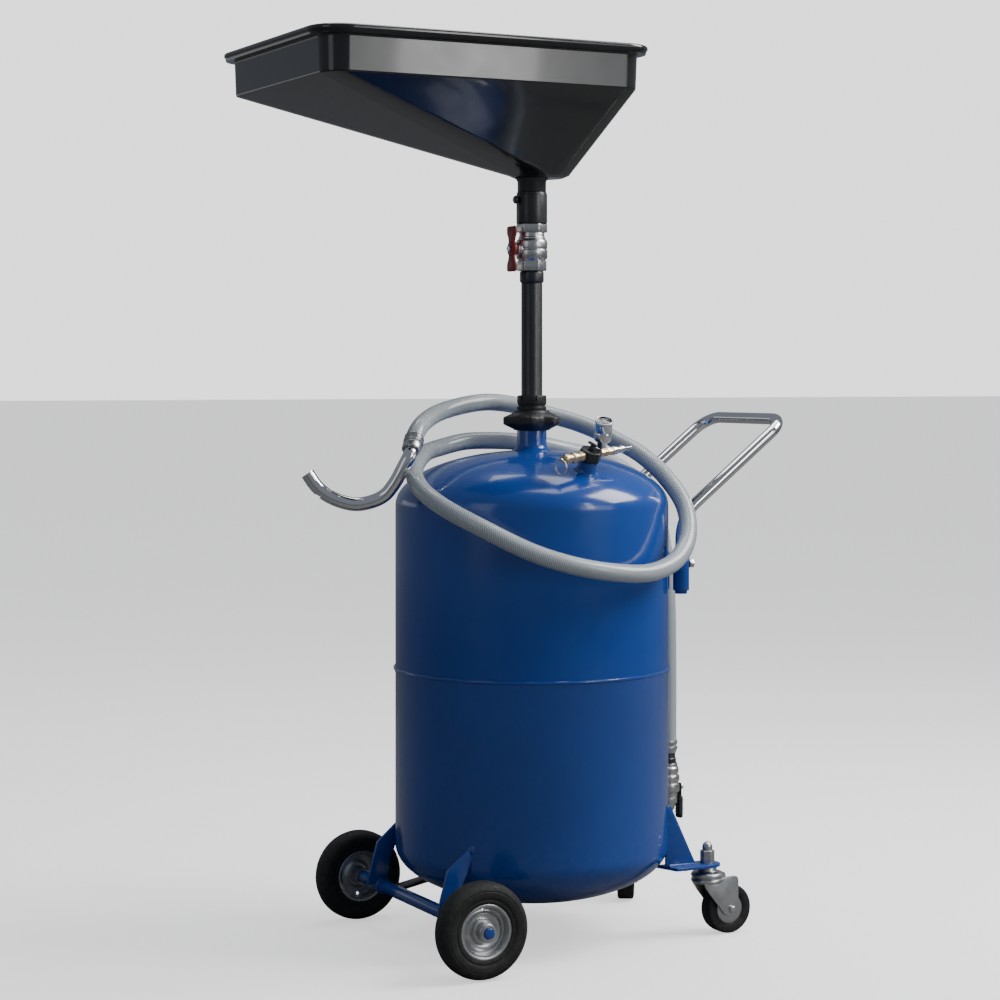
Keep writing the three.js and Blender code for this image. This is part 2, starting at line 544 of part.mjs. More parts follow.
// ---------------------------------------------------------------- casters
function makeCaster({ name, sign }, turn) {
  const { x, plateTop, plate: thick } = CASTER;
  const y = sign * CASTER.y;
  const foot = plateTop - thick;
  const tab = join(
    block(96, 40, thick, x - 48, y, plateTop - thick / 2),
    disc(20, foot, plateTop, 24).translate(x, y, 0),
  );
  const web = [[160, plateTop - 1], [217, plateTop - 1], [217, plateTop + 3], [172, 204], [160, 204]];
  const pinHole = disc(CASTER.stud / 2, foot - 5, plateTop + 5, 20).translate(x, y, 0);
  const bracket = join(tab, uprightPlate(web, thick, y));
  add(`caster_bracket_${name}`, cut(bracket, tankEnvelope(), pinHole), bluePaint);

  const head = turned([[0, 19.8], [7.9, 19.8], [7.9, 24.5], [6, 29], [0, 32.6]], 16);
  const nut = hexBlock(20.5, 0.4, 20);
  const stud = disc(CASTER.stud / 2 - 0.4, -8, 1, 20);
  add(`caster_nut_${name}`, join(stud, nut, head).translate(x, y, plateTop), zinc);

  const swivel = new THREE.Group();
  swivel.position.set(x, y, 0);
  swivel.rotation.z = turn * Math.PI / 180;
  drainer.add(swivel);
  const crown = turned([
    [0, 80], [21, 80], [25.5, 84], [25.5, 91], [22, 95], [14, foot - GAP], [0, foot - GAP],
  ], 16);
  const pinWay = disc(CASTER.stud / 2, 76, foot + 5, 20);
  const cheek = [[-16, 82], [-9, 68], [20, 32], [26, 27.5], [CASTER.trail, 26], [42, 30], [45, 38],
    [45, 90], [22, 90]];
  const back = block(4, 36, 12, 43, 0, 84);
  const cheeks = [-1, 1].map((side) => uprightPlate(cheek, CASTER.forkPlate, side * CASTER.fork));
  const axle = disc(4, -23, 23, 16).rotateX(Math.PI / 2).translate(CASTER.trail, 0, CASTER.wheelRadius);
  add(`caster_fork_${name}`, cut(join(crown, back, ...cheeks, axle), pinWay), zinc, swivel);
  const w = CASTER.wheelHalfWidth;
  const wheel = ring([
    [4.3, -15.5], [9, -15.5], [12, -w], [34, -w], [CASTER.wheelRadius, 4 - w], [CASTER.wheelRadius, w - 4],
    [34, w], [12, w], [9, 15.5], [4.3, 15.5],
  ]).rotateX(Math.PI / 2).translate(CASTER.trail, 0, CASTER.wheelRadius);
  add(`caster_wheel_${name}`, wheel, rubber, swivel);
}

// ---------------------------------------------------------------- discharge line
function makeOutlet() {
  const { x, height, pipe, bore, elbowTop, bodyTop, tailTop, leverHeight } = OUTLET;
  const path = bentPath([[197, 0, height], [x, 0, height], [x, 0, elbowTop]], [19]);
  add("outlet_elbow", swept(path, pipe, 12, 9, bore), zinc);
  const barrel = turned([
    [0, elbowTop + GAP], [14.5, elbowTop + GAP], [17.5, elbowTop + 5], [18.5, elbowTop + 12],
    [18.5, bodyTop - 24], [17, bodyTop - 22], [17, bodyTop - 8], [15, bodyTop - 6], [15, bodyTop],
    [0, bodyTop],
  ]);
  const seat = sphere(12.8, x, 0, leverHeight);
  const through = disc(7, elbowTop - 5, bodyTop + 5, 16).translate(x, 0, 0);
  const mouth = disc(12.8, leverHeight, bodyTop + 5, 20).translate(x, 0, 0);
  const stemWay = disc(3.4, 0, 40, 12).rotateY(Math.PI / 2).translate(x, 0, leverHeight);
  add("outlet_valve_body", cut(barrel.translate(x, 0, 0), seat, through, mouth, stemWay), chrome);
  const stem = disc(3, 6, 28, 12).rotateY(Math.PI / 2).translate(x, 0, leverHeight);
  const ball = cut(
    join(sphere(11.9, x, 0, leverHeight), stem),
    disc(7, leverHeight - 20, leverHeight + 20, 16).translate(x, 0, 0),
  );
  add("outlet_ball", ball, chrome);
  const arm = block(3, 12, 34, 20.8, 0, -11);
  const grip = block(8, 14, 36, 20.8, 0, -32);
  const eye = disc(3.3, 0, 60, 12).rotateY(Math.PI / 2);
  add("outlet_lever", cut(join(arm, grip), eye).translate(x, 0, leverHeight), blackPlastic);
  add("hose_tail", ring([
    [6.8, leverHeight + 11.5], [12, leverHeight + 11.5], [12, bodyTop + GAP], [13, bodyTop + GAP],
    [13, bodyTop + 8], [11.5, bodyTop + 9], [11.5, tailTop], [6.8, tailTop],
  ], 20).translate(x, 0, 0), blackPaint);
}

function makeHose() {
  const hosePath = curveThrough(HOSE_ROUTE);
  cordPieces.add(add("discharge_hose", swept(hosePath, HOSE_RADIUS, 8, 52), clearHose));
  const spout = swept(curveThrough(SPOUT_ROUTE), SPOUT.radius, 8, 16, SPOUT.bore);
  cordPieces.add(add("pickup_spout", spout, chrome));
}

// ---------------------------------------------------------------- assembly
makeTank();
makePostClamp();
makePost();
makeValve();
makePanMount();
makePan();
makeAirFittings();
makeHandle();
makeAxle();
sides.forEach(makeFixedWheel);
makeCaster(sides[0], 0);
makeCaster(sides[1], FAR_CASTER_TURN);
makeOutlet();
makeHose();

// The origin is the middle of the box round everything but the hose and its spout, at floor level.
drainer.updateMatrixWorld(true);
const extent = new THREE.Box3();
drainer.traverse((piece) => {
  if (piece.isMesh && !cordPieces.has(piece)) extent.expandByObject(piece, true);
});
const middle = extent.getCenter(new THREE.Vector3());
const product = new THREE.Group();
drainer.position.set(-middle.x, -middle.y, -extent.min.z);
product.add(drainer);

export default product;
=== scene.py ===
"""The visible pieces of a mobile waste-oil drainer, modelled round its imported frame.

Sizes are in millimetres and are turned into metres where a mesh is made. Heights are above the
floor. Each sub-assembly is a class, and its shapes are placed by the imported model's own boxes.
"""
import logging
import math
from collections.abc import Sequence
from dataclasses import dataclass
from enum import Enum

import bmesh
import bpy
from mathutils import Matrix, Quaternion, Vector


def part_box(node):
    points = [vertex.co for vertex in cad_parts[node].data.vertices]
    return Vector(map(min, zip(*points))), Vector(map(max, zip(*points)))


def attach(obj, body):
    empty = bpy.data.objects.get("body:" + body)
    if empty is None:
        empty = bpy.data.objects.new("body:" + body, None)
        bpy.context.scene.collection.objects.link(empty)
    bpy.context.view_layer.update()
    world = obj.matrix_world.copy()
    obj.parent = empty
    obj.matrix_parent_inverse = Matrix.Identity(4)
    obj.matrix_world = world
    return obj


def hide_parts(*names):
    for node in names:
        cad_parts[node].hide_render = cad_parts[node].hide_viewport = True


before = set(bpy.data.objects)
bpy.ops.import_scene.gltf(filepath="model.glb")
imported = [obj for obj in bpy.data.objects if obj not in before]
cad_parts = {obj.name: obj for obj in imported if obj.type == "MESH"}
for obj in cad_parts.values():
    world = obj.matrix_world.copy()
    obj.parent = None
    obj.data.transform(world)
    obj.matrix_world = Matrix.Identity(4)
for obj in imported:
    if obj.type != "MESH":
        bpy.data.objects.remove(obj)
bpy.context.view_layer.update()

LOG = logging.getLogger("drainer")
MM = 0.001
MERGE = 0.02 * MM
SMOOTH_ANGLE = math.radians(34)

Point = Sequence[float]


class Side(Enum):
    """The two ends of the axle: left is the one nearer to the camera."""

    LEFT = -1
    RIGHT = 1

    @property
    def word(self) -> str:
        """The side's name as the frame's nodes spell it."""
        return self.name.lower()


# ------------------------------------------------------------------ places in the frame
def middle(node: str) -> Vector:
    """The centre of a node's box, in millimetres."""
    low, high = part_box(node)
    return (low + high) / 2 / MM


def lowest(node: str) -> Vector:
    """The lowest corner of a node's box, in millimetres."""
    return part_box(node)[0] / MM


def highest(node: str) -> Vector:
    """The highest corner of a node's box, in millimetres."""
    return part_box(node)[1] / MM


AXIS = Vector((middle("neck_pipe").x, 0, 0))  # the tank's upright axis


# ------------------------------------------------------------------ bench tools
def clear_selection() -> None:
    """Leaves edit mode and deselects everything."""
    if bpy.context.mode != "OBJECT":
        bpy.ops.object.mode_set(mode="OBJECT")
    bpy.ops.object.select_all(action="DESELECT")


def pick(piece: bpy.types.Object) -> None:
    """Selects one object alone and makes it active."""
    clear_selection()
    piece.select_set(True)
    bpy.context.view_layer.objects.active = piece


def chain(name: str, points: Sequence[Point]) -> bpy.types.Object:
    """Extrudes one vertex along a line of points and stays in edit mode, all selected.

    Args:
        name: The new piece's name.
        points: The corners, in millimetres.

    Returns:
        The new object.
    """
    clear_selection()
    bpy.ops.mesh.primitive_plane_add(size=MM)
    piece = bpy.context.object
    piece.name = name
    piece.data.name = name
    bpy.ops.object.mode_set(mode="EDIT")
    bpy.ops.mesh.select_all(action="SELECT")
    bpy.ops.mesh.merge(type="CENTER")
    bpy.ops.transform.translate(value=Vector(points[0]) * MM)
    for here, there in zip(points, points[1:]):
        step = (Vector(there) - Vector(here)) * MM
        bpy.ops.mesh.extrude_region_move(TRANSFORM_OT_translate={"value": step})
    bpy.ops.mesh.select_all(action="SELECT")
    return piece


def close_skin() -> None:
    """Merges doubles in the edited mesh, turns its faces outwards and leaves edit mode."""
    bpy.ops.mesh.select_all(action="SELECT")
    bpy.ops.mesh.remove_doubles(threshold=MERGE)
    bpy.ops.mesh.normals_make_consistent(inside=False)
    bpy.ops.object.mode_set(mode="OBJECT")


def soft(piece: bpy.types.Object, width: float = 0.6, segments: int = 2,
         angle: float = 30) -> bpy.types.Object:
    """Rounds a piece's sharp edges and shades it smooth.

    Args:
        piece: The object to finish.
        width: The rounding's width, in millimetres, or 0 for none.
        segments: The facets across the rounding.
        angle: The least angle, in degrees, at which an edge counts as sharp.

    Returns:
        The same object.
    """
    pick(piece)
    if width > 0:
        rounding = piece.modifiers.new("rounding", "BEVEL")
        rounding.width = width * MM
        rounding.segments = segments
        rounding.limit_method = "ANGLE"
        rounding.angle_limit = math.radians(angle)
        bpy.ops.object.modifier_apply(modifier=rounding.name)
    bpy.ops.object.shade_smooth_by_angle(angle=SMOOTH_ANGLE)
    return piece


def turned(name: str, profile: Sequence[Point], steps: int = 64, edge: float = 0.5,
           angle: float = 30) -> bpy.types.Object:
    """Spins a profile round the Z axis.

    Args:
        name: The new piece's name.
        profile: Pairs of radius and height, which start and end on the axis or close on themselves.
        steps: The facets round the axis.
        edge: The rounding of its sharp edges.
        angle: The least angle of an edge that is rounded.

    Returns:
        The new object.
    """
    piece = chain(name, [(radius, 0, height) for radius, height in profile])
    bpy.ops.mesh.spin(steps=steps, angle=math.tau, center=(0, 0, 0), axis=(0, 0, 1))
    close_skin()
    return soft(piece, edge, angle=angle)


def ring(name: str, profile: Sequence[Point], steps: int = 64, edge: float = 0.5,
         angle: float = 30) -> bpy.types.Object:
    """Spins a profile that closes on itself."""
    return turned(name, [*profile, profile[0]], steps, edge, angle)


def sheet_metal(name: str, outline: Sequence[Point], thickness: float,
                edge: float = 0.8) -> bpy.types.Object:
    """Cuts a flat plate from an outline.

    Args:
        name: The new piece's name.
        outline: The corners in the XY plane.
        thickness: Its thickness, upwards from Z = 0.
        edge: The rounding of its edges.

    Returns:
        The new object.
    """
    piece = chain(name, [(x, y, 0) for x, y in outline])
    bpy.ops.mesh.edge_face_add()
    bpy.ops.mesh.extrude_region_move(TRANSFORM_OT_translate={"value": (0, 0, thickness * MM)})
    close_skin()
    return soft(piece, edge)


def lofted(name: str, rings: Sequence[Sequence[Point]], closed: bool,
           edge: float = 0.0, angle: float = 30) -> bpy.types.Object:
    """Extrudes a circle from ring to ring, each with the same number of points.

    Args:
        name: The new piece's name.
        rings: The rings' points, in order.
        closed: Whether the last ring joins the first, instead of both being capped.
        edge: The rounding of its sharp edges.
        angle: The least angle of an edge that is rounded.

    Returns:
        The new object.
    """
    clear_selection()
    bpy.ops.mesh.primitive_circle_add(vertices=len(rings[0]), radius=MM)
    piece = bpy.context.object
    piece.name = name
    piece.data.name = name
    for vertex, place in zip(piece.data.vertices, rings[0]):
        vertex.co = Vector(place) * MM
    bpy.ops.object.mode_set(mode="EDIT")
    bpy.ops.mesh.select_all(action="SELECT")
    for last, following in zip(rings, rings[1:] + ([rings[0]] if closed else [])):
        bpy.ops.mesh.extrude_region_move(TRANSFORM_OT_translate={"value": (0, 0, 0)})
        mesh = bmesh.from_edit_mesh(piece.data)
        fresh = [vertex for vertex in mesh.verts if vertex.select]
        spots = {tuple(round(value, 4) for value in place): number
                 for number, place in enumerate(last)}
        for vertex in fresh:
            key = tuple(round(value / MM, 4) for value in vertex.co)
            number = spots.get(key)
            if number is None:
                number = min(range(len(last)), key=lambda i: (Vector(last[i]) * MM - vertex.co).length)
            vertex.co = Vector(following[number]) * MM
        bmesh.update_edit_mesh(piece.data)
    if not closed:
        bpy.ops.mesh.select_all(action="SELECT")
        bpy.ops.mesh.fill_holes(sides=0)
    close_skin()
    return soft(piece, edge, angle=angle)


def hex_block(name: str, across: float, height: float, edge: float = 0.8) -> bpy.types.Object:
    """A hexagon block with its flat foot at Z = 0 and softened edges.

    Args:
        name: The new piece's name.
        across: The distance across its flats.
        height: Its height.
        edge: The rounding of its edges.

    Returns:
        The new object.
    """
    clear_selection()
    bpy.ops.mesh.primitive_cylinder_add(vertices=6, radius=across / math.sqrt(3) * MM,
                                        depth=height * MM, location=(0, 0, height / 2 * MM))
    piece = bpy.context.object
    piece.name = name
    bpy.ops.object.transform_apply(location=True, rotation=True, scale=True)
    soft(piece, edge, 3)
    crown = piece.modifiers.new("chamfer", "BEVEL")
    crown.width = 0.3 * edge * MM
    crown.limit_method = "ANGLE"
    bpy.ops.object.modifier_apply(modifier=crown.name)
    return piece


def slab(name: str, size: Point, at: Point, edge: float = 0.8) -> bpy.types.Object:
    """A rectangular bar with softened edges.

    Args:
        name: The new piece's name.
        size: Its length along X, Y and Z.
        at: Its centre.
        edge: The rounding of its edges.

    Returns:
        The new object.
    """
    clear_selection()
    bpy.ops.mesh.primitive_cube_add(size=MM)
    piece = bpy.context.object
    piece.name = name
    piece.scale = size
    piece.location = Vector(at) * MM
    bpy.ops.object.transform_apply(location=True, rotation=True, scale=True)
    return soft(piece, edge, 3)


def tube(name: str, path: Sequence[Point], radius: float, sides: int = 24,
         cyclic: bool = False) -> bpy.types.Object:
    """Draws a round bar along a path.

    Args:
        name: The new piece's name.
        path: The centreline's points, close together.
        radius: The bar's radius.
        sides: The facets round it.
        cyclic: Whether the path closes on itself.

    Returns:
        The new object.
    """
    clear_selection()
    bpy.ops.curve.primitive_nurbs_path_add()
    piece = bpy.context.object
    curve = piece.data
    curve.splines.clear()
    spline = curve.splines.new("POLY")
    spline.points.add(len(path) - 1)
    for point, place in zip(spline.points, path):
        point.co = (*(Vector(place) * MM), 1)
    spline.use_cyclic_u = cyclic
    curve.dimensions = "3D"
    curve.twist_mode = "MINIMUM"
    curve.bevel_depth = radius * MM
    curve.bevel_resolution = sides // 4
    curve.use_fill_caps = not cyclic
    bpy.ops.object.convert(target="MESH")
    piece = bpy.context.object
    piece.name = name
    piece.data.name = name
    bpy.ops.object.mode_set(mode="EDIT")
    close_skin()
    bpy.ops.object.shade_smooth_by_angle(angle=SMOOTH_ANGLE)
    return piece


def placed(piece: bpy.types.Object, at: Point = (0, 0, 0), turn: Point = (0, 0, 0),
           within: Matrix | None = None) -> bpy.types.Object:
    """Moves a piece to its place and applies the move to its mesh.

    Args:
        piece: The object.
        at: Where its own origin goes, in millimetres.
        turn: Its turns about X, Y and Z, in degrees.
        within: A frame, in millimetres, that the place is measured in.

    Returns:
        The same object.
    """
    own = Matrix.Translation(Vector(at)) @ _euler(turn)
    whole = (within or Matrix.Identity(4)) @ own
    whole.translation = whole.translation * MM
    pick(piece)
    piece.matrix_world = whole
    bpy.ops.object.transform_apply(location=True, rotation=True, scale=True)
    return piece


def _euler(turn: Point) -> Matrix:
    """The matrix of turns about X, then Y, then Z, in degrees."""
    about_x, about_y, about_z = (math.radians(angle) for angle in turn)
    return (Matrix.Rotation(about_z, 4, "Z") @ Matrix.Rotation(about_y, 4, "Y")
            @ Matrix.Rotation(about_x, 4, "X"))


def welded(name: str, *parts: bpy.types.Object) -> bpy.types.Object:
    """Joins parts that share a finish into one piece.

    Args:
        name: The whole piece's name.
        *parts: The objects to join.

    Returns:
        The joined object.
    """
    pick(parts[0])
    for part in parts[1:]:
        part.select_set(True)
    bpy.ops.object.join()
    parts[0].name = name
    parts[0].data.name = name
    return parts[0]


def drilled(piece: bpy.types.Object, *drills: bpy.types.Object) -> bpy.types.Object:
    """Cuts one or more solids out of a piece and removes them.

    Args:
        piece: The object that is cut.
        *drills: The solids that are taken out of it.

    Returns:
        The cut object.
    """
    for drill in drills:
        pick(piece)
        cut = piece.modifiers.new("cut", "BOOLEAN")
        cut.operation = "DIFFERENCE"
        cut.solver = "EXACT"
        cut.object = drill
        bpy.ops.object.modifier_apply(modifier=cut.name)
        bpy.data.objects.remove(drill)
    pick(piece)
    bpy.ops.object.shade_smooth_by_angle(angle=SMOOTH_ANGLE)
    return piece


def circle_path(centre: Point, radius: float, steps: int = 48,
                normal: Point = (0, 0, 1)) -> list[Vector]:
    """Points round a circle that faces along a normal.

    Args:
        centre: The circle's centre.
        radius: Its radius.
        steps: The count of points.
        normal: The way it faces.

    Returns:
        The points in order.
    """
    facing = Vector(normal).to_track_quat("Z", "Y").to_matrix()
    return [Vector(centre) + facing @ Vector((radius * math.cos(math.tau * i / steps),
                                              radius * math.sin(math.tau * i / steps), 0))
            for i in range(steps)]


def bent(corners: Sequence[Point], bends: Sequence[float], steps: int = 12) -> list[Vector]:
    """A path of straight runs joined by round bends.

    Args:
        corners: The points where the runs would meet.
        bends: The centreline radius at each inner corner.
        steps: The points round each bend.

    Returns:
        The path's points.
    """
    points = [Vector(corner) for corner in corners]
    path = [points[0]]
    for before, corner, after, radius in zip(points, points[1:], points[2:], bends):
        inward = (before - corner).normalized()
        onward = (after - corner).normalized()
        half = inward.angle(onward) / 2
        reach = radius / math.tan(half)
        centre = corner + (inward + onward).normalized() * radius / math.sin(half)
        start = corner + inward * reach - centre
        end = corner + onward * reach - centre
        whole_turn = start.rotation_difference(end)
        for i in range(steps + 1):
            path.append(centre + Quaternion().slerp(whole_turn, i / steps) @ start)
    path.append(points[-1])
    return path


def smooth_path(route: Sequence[Point], per_span: int) -> list[Vector]:
    """A centripetal curve through a route's points.

    Args:
        route: The points it passes through.
        per_span: The steps between one point and the next.

    Returns:
        Points along the curve.
    """
    points = [Vector(place) for place in route]
    points = [2 * points[0] - points[1], *points, 2 * points[-1] - points[-2]]
    path = []
    for p0, p1, p2, p3 in zip(points, points[1:], points[2:], points[3:]):
        d0, d1, d2 = (max((b - a).length ** 0.5, 1e-4) for a, b in ((p0, p1), (p1, p2), (p2, p3)))
        leave = ((p1 - p0) / d0 - (p2 - p0) / (d0 + d1) + (p2 - p1) / d1) * d1
        reach = ((p2 - p1) / d1 - (p3 - p1) / (d1 + d2) + (p3 - p2) / d2) * d1
        for i in range(per_span):
            t = i / per_span
            path.append(p1 * (2 * t ** 3 - 3 * t ** 2 + 1) + leave * (t ** 3 - 2 * t ** 2 + t)
                        + p2 * (3 * t ** 2 - 2 * t ** 3) + reach * (t ** 3 - t ** 2))
    return [*path, points[-2]]


# ------------------------------------------------------------------ finishes
class Recipe:
    """Builds one node material, socket by socket."""

    def __init__(self, name: str) -> None:
        """Starts a material with its shader alone.

        Args:
            name: The material's name.
        """
        self.material = bpy.data.materials.new(name)
        self.material.use_nodes = True
        self.tree = self.material.node_tree
        self.shader = self.tree.nodes["Principled BSDF"]
        self.place = self.add("ShaderNodeTexCoord").outputs["Object"]

    def add(self, kind: str, inputs: dict | None = None, **settings: object) -> bpy.types.Node:
        """Adds a node, sets its own settings, and fills or links its inputs.

        Args:
            kind: The node's type.
            inputs: Values or sockets for its inputs, by name or number.
            **settings: The node's own properties.

        Returns:
            The new node.
        """
        node = self.tree.nodes.new(kind)
        for setting, value in settings.items():
            setattr(node, setting, value)
        for socket, value in (inputs or {}).items():
            if isinstance(value, bpy.types.NodeSocket):
                self.tree.links.new(value, node.inputs[socket])
            else:
                node.inputs[socket].default_value = value
        return node

    def set(self, **values: object) -> None:
        """Fills or links the shader's sockets, named with underscores.

        Args:
            **values: The value or socket for each input.
        """
        for name, value in values.items():
            socket = self.shader.inputs[name.replace("_", " ")]
            if isinstance(value, bpy.types.NodeSocket):
                self.tree.links.new(value, socket)
            else:
                socket.default_value = value

    def noise(self, scale: float, detail: float = 3, place: object = None) -> bpy.types.NodeSocket:
        """Noise from 0 to 1 at a scale in cycles per metre."""
        where = self.place if place is None else place
        return self.add("ShaderNodeTexNoise", {"Vector": where, "Scale": scale,
                                               "Detail": detail}).outputs["Fac"]

    def spread(self, value: object, low: float, high: float, start: float = 0.3,
               end: float = 0.7) -> bpy.types.NodeSocket:
        """A value stretched from its middle range to new limits."""
        return self.add("ShaderNodeMapRange", {"Value": value, "From Min": start, "From Max": end,
                                               "To Min": low, "To Max": high}).outputs["Result"]

    def mixed(self, share: object, one: Point, other: Point) -> bpy.types.NodeSocket:
        """A colour between two colours.

        Args:
            share: How much of the second colour there is.
            one: The first colour.
            other: The second colour.

        Returns:
            The mixed colour's socket.
        """
        node = self.add("ShaderNodeMix", data_type="RGBA")
        for number, value in ((0, share), (6, one), (7, other)):
            if isinstance(value, bpy.types.NodeSocket):
                self.tree.links.new(value, node.inputs[number])
            else:
                node.inputs[number].default_value = value
        return node.outputs[2]

    def maths(self, operation: str, first: object, second: object = 0.0) -> bpy.types.NodeSocket:
        """One arithmetic step."""
        return self.add("ShaderNodeMath", {0: first, 1: second},
                        operation=operation).outputs["Value"]

    def relief(self, height: object, depth: float) -> None:
        """Links a bump of a depth in millimetres to the shader."""
        bump = self.add("ShaderNodeBump", {"Height": height, "Strength": 1.0,
                                           "Distance": depth * MM})
        self.tree.links.new(bump.outputs["Normal"], self.shader.inputs["Normal"])


def shade(colour: Point, factor: float) -> tuple[float, float, float, float]:
    """A colour made darker or lighter, with its alpha."""
    return (colour[0] * factor, colour[1] * factor, colour[2] * factor, 1.0)


@dataclass(frozen=True)
class Finish:
    """A surface with mottled colour, uneven gloss and a fine relief.

    The grain is in cycles per metre and the relief in millimetres.
    """

    name: str
    slot: str
    colour: tuple[float, float, float]
    roughness: tuple[float, float]
    metallic: float = 0.0
    coat: float = 0.0
    coat_roughness: float = 0.05
    mottle: float = 0.15
    mottle_scale: float = 12.0
    grain: float = 600.0
    depth: float = 0.02

    def material(self) -> bpy.types.Material:
        """Returns the finish's material, made once."""
        made = bpy.data.materials.get(self.name)
        return made or self.build(Recipe(self.name))

    def build(self, recipe: Recipe) -> bpy.types.Material:
        """Builds the nodes.

        Args:
            recipe: The empty material.

        Returns:
            The finished material.
        """
        patches = recipe.noise(self.mottle_scale, 4)
        share = recipe.spread(patches, 0.0, 1.0)
        recipe.set(Base_Color=recipe.mixed(share, shade(self.colour, 1 - self.mottle),
                                           shade(self.colour, 1 + self.mottle)),
                   Metallic=self.metallic, Coat_Weight=self.coat,
                   Coat_Roughness=self.coat_roughness)
        smears = recipe.noise(self.mottle_scale * 5, 5)
        recipe.set(Roughness=recipe.spread(smears, *self.roughness))
        recipe.relief(recipe.noise(self.grain, 2), self.depth)
        return recipe.material


@dataclass(frozen=True)
class Enamel(Finish):
    """Sprayed gloss paint with a slight orange peel and dust settled low down."""

    dust: float = 0.25

    def build(self, recipe: Recipe) -> bpy.types.Material:
        """Adds fine dust near the floor to the plain finish.

        Args:
            recipe: The empty material.

        Returns:
            The finished material.
        """
        super().build(recipe)
        height = recipe.add("ShaderNodeSeparateXYZ", {0: recipe.place}).outputs["Z"]
        low_down = recipe.spread(height, 1.0, 0.0, 0.02, 0.22)
        specks = recipe.spread(recipe.noise(90, 6), 0.0, self.dust, 0.45, 0.75)
        share = recipe.maths("MULTIPLY", low_down, specks)
        clean = recipe.shader.inputs["Base Color"].links[0].from_socket
        recipe.set(Base_Color=recipe.mixed(share, clean, (0.20, 0.19, 0.17, 1.0)))
        return recipe.material


@dataclass(frozen=True)
class Braid(Finish):
    """Clear hose with a woven thread inside, patterned along the hose's own UV map."""

    threads_round: int = 14
    threads_along: float = 300.0
    thread_colour: tuple[float, float, float] = (0.55, 0.60, 0.63)

    def build(self, recipe: Recipe) -> bpy.types.Material:
        """Lays two crossing sets of slanting threads over the wall's colour.

        Args:
            recipe: The empty material.

        Returns:
            The finished material.
        """
        along = recipe.add("ShaderNodeSeparateXYZ",
                           {0: recipe.add("ShaderNodeUVMap", uv_map="along").outputs["UV"]})
        u = recipe.maths("MULTIPLY", along.outputs["X"], float(self.threads_round))
        v = recipe.maths("MULTIPLY", along.outputs["Y"], self.threads_along)
        weave = []
        for operation in ("ADD", "SUBTRACT"):
            lane = recipe.maths("FRACT", recipe.maths(operation, u, v))
            centred = recipe.maths("ABSOLUTE", recipe.maths("SUBTRACT", lane, 0.5))
            weave.append(recipe.spread(centred, 1.0, 0.0, 0.12, 0.24))
        threads = recipe.maths("MAXIMUM", *weave)
        wall = recipe.mixed(recipe.noise(30, 3), shade(self.colour, 1 - self.mottle),
                            shade(self.colour, 1 + self.mottle))
        recipe.set(Base_Color=recipe.mixed(threads, wall, shade(self.thread_colour, 1.0)),
                   Coat_Weight=self.coat, Coat_Roughness=self.coat_roughness,
                   Subsurface_Weight=0.15, Subsurface_Scale=0.004,
                   Roughness=recipe.spread(recipe.noise(120, 3), *self.roughness))
        recipe.relief(threads, self.depth)
        return recipe.material


@dataclass(frozen=True)
class Glass(Finish):
    """A clear lens."""

    def build(self, recipe: Recipe) -> bpy.types.Material:
        """Makes the plain finish transmit light."""
        super().build(recipe)
        recipe.set(Transmission_Weight=1.0, IOR=1.45)
        return recipe.material


BLUE = Enamel("blue_enamel", "blue_paint", (0.009, 0.062, 0.32), (0.16, 0.26), 0, 0.5, 0.05,
              0.10, 5, 420, 0.012, dust=0.12)
BLACK_PAINT = Enamel("black_satin_paint", "black_paint", (0.018, 0.020, 0.022), (0.32, 0.44), 0,
                     0.25, 0.2, 0.25, 15, 700, 0.02)
NYLON = Finish("black_nylon", "knob_plastic", (0.014, 0.015, 0.016), (0.35, 0.5), 0, 0, 0.1,
               0.2, 25, 1500, 0.02)
PAN_PLASTIC = Finish("black_gloss_plastic", "pan_plastic", (0.009, 0.010, 0.011), (0.14, 0.22), 0,
                     0.5, 0.05, 0.25, 6, 260, 0.015)
RED = Finish("red_dip", "red_plastic", (0.24, 0.018, 0.018), (0.4, 0.55), 0, 0.1, 0.3, 0.2, 60,
             900, 0.04)
CHROME = Finish("bright_chrome", "chrome", (0.80, 0.80, 0.81), (0.05, 0.09), 1, 0, 0, 0.04, 12,
                300, 0.0008)
SATIN = Finish("satin_nickel", "chrome", (0.60, 0.60, 0.59), (0.22, 0.34), 1, 0, 0, 0.12, 60,
               1400, 0.02)
ZINC = Finish("zinc_plate", "zinc", (0.56, 0.57, 0.57), (0.26, 0.38), 1, 0, 0, 0.12, 60, 900,
              0.008)
BRASS = Finish("machined_brass", "brass", (0.66, 0.52, 0.34), (0.22, 0.34), 1, 0, 0, 0.12, 90,
               1500, 0.01)
RUBBER = Enamel("black_rubber", "tyre_rubber", (0.013, 0.0135, 0.014), (0.62, 0.85), 0, 0, 0,
                0.2, 40, 1100, 0.05, dust=0.1)
HOSE = Braid("braided_clear_hose", "braided_hose", (0.20, 0.235, 0.26), (0.18, 0.3), 0, 0.5, 0.08,
             0.12, depth=0.12)
LENS = Glass("clear_lens", "gauge_glass", (0.95, 0.97, 0.98), (0.02, 0.05), mottle=0.02)
DIAL_WHITE = Finish("dial_white", "gauge_glass", (0.80, 0.82, 0.84), (0.4, 0.5), mottle=0.03)


def dressed(piece: bpy.types.Object, finish: Finish, body: str,
            *replaced: str) -> bpy.types.Object:
    """Gives a piece its finish and its body, and hides the nodes it stands for.

    Args:
        piece: The finished mesh.
        finish: Its surface.
        body: The body it moves with.
        *replaced: The nodes it stands for.

    Returns:
        The same object.
    """
    piece.data.materials.clear()
    piece.data.materials.append(finish.material())
    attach(piece, body)
    if replaced:
        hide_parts(*replaced)
    LOG.info("%s rides on %s", piece.name, body)
    return piece


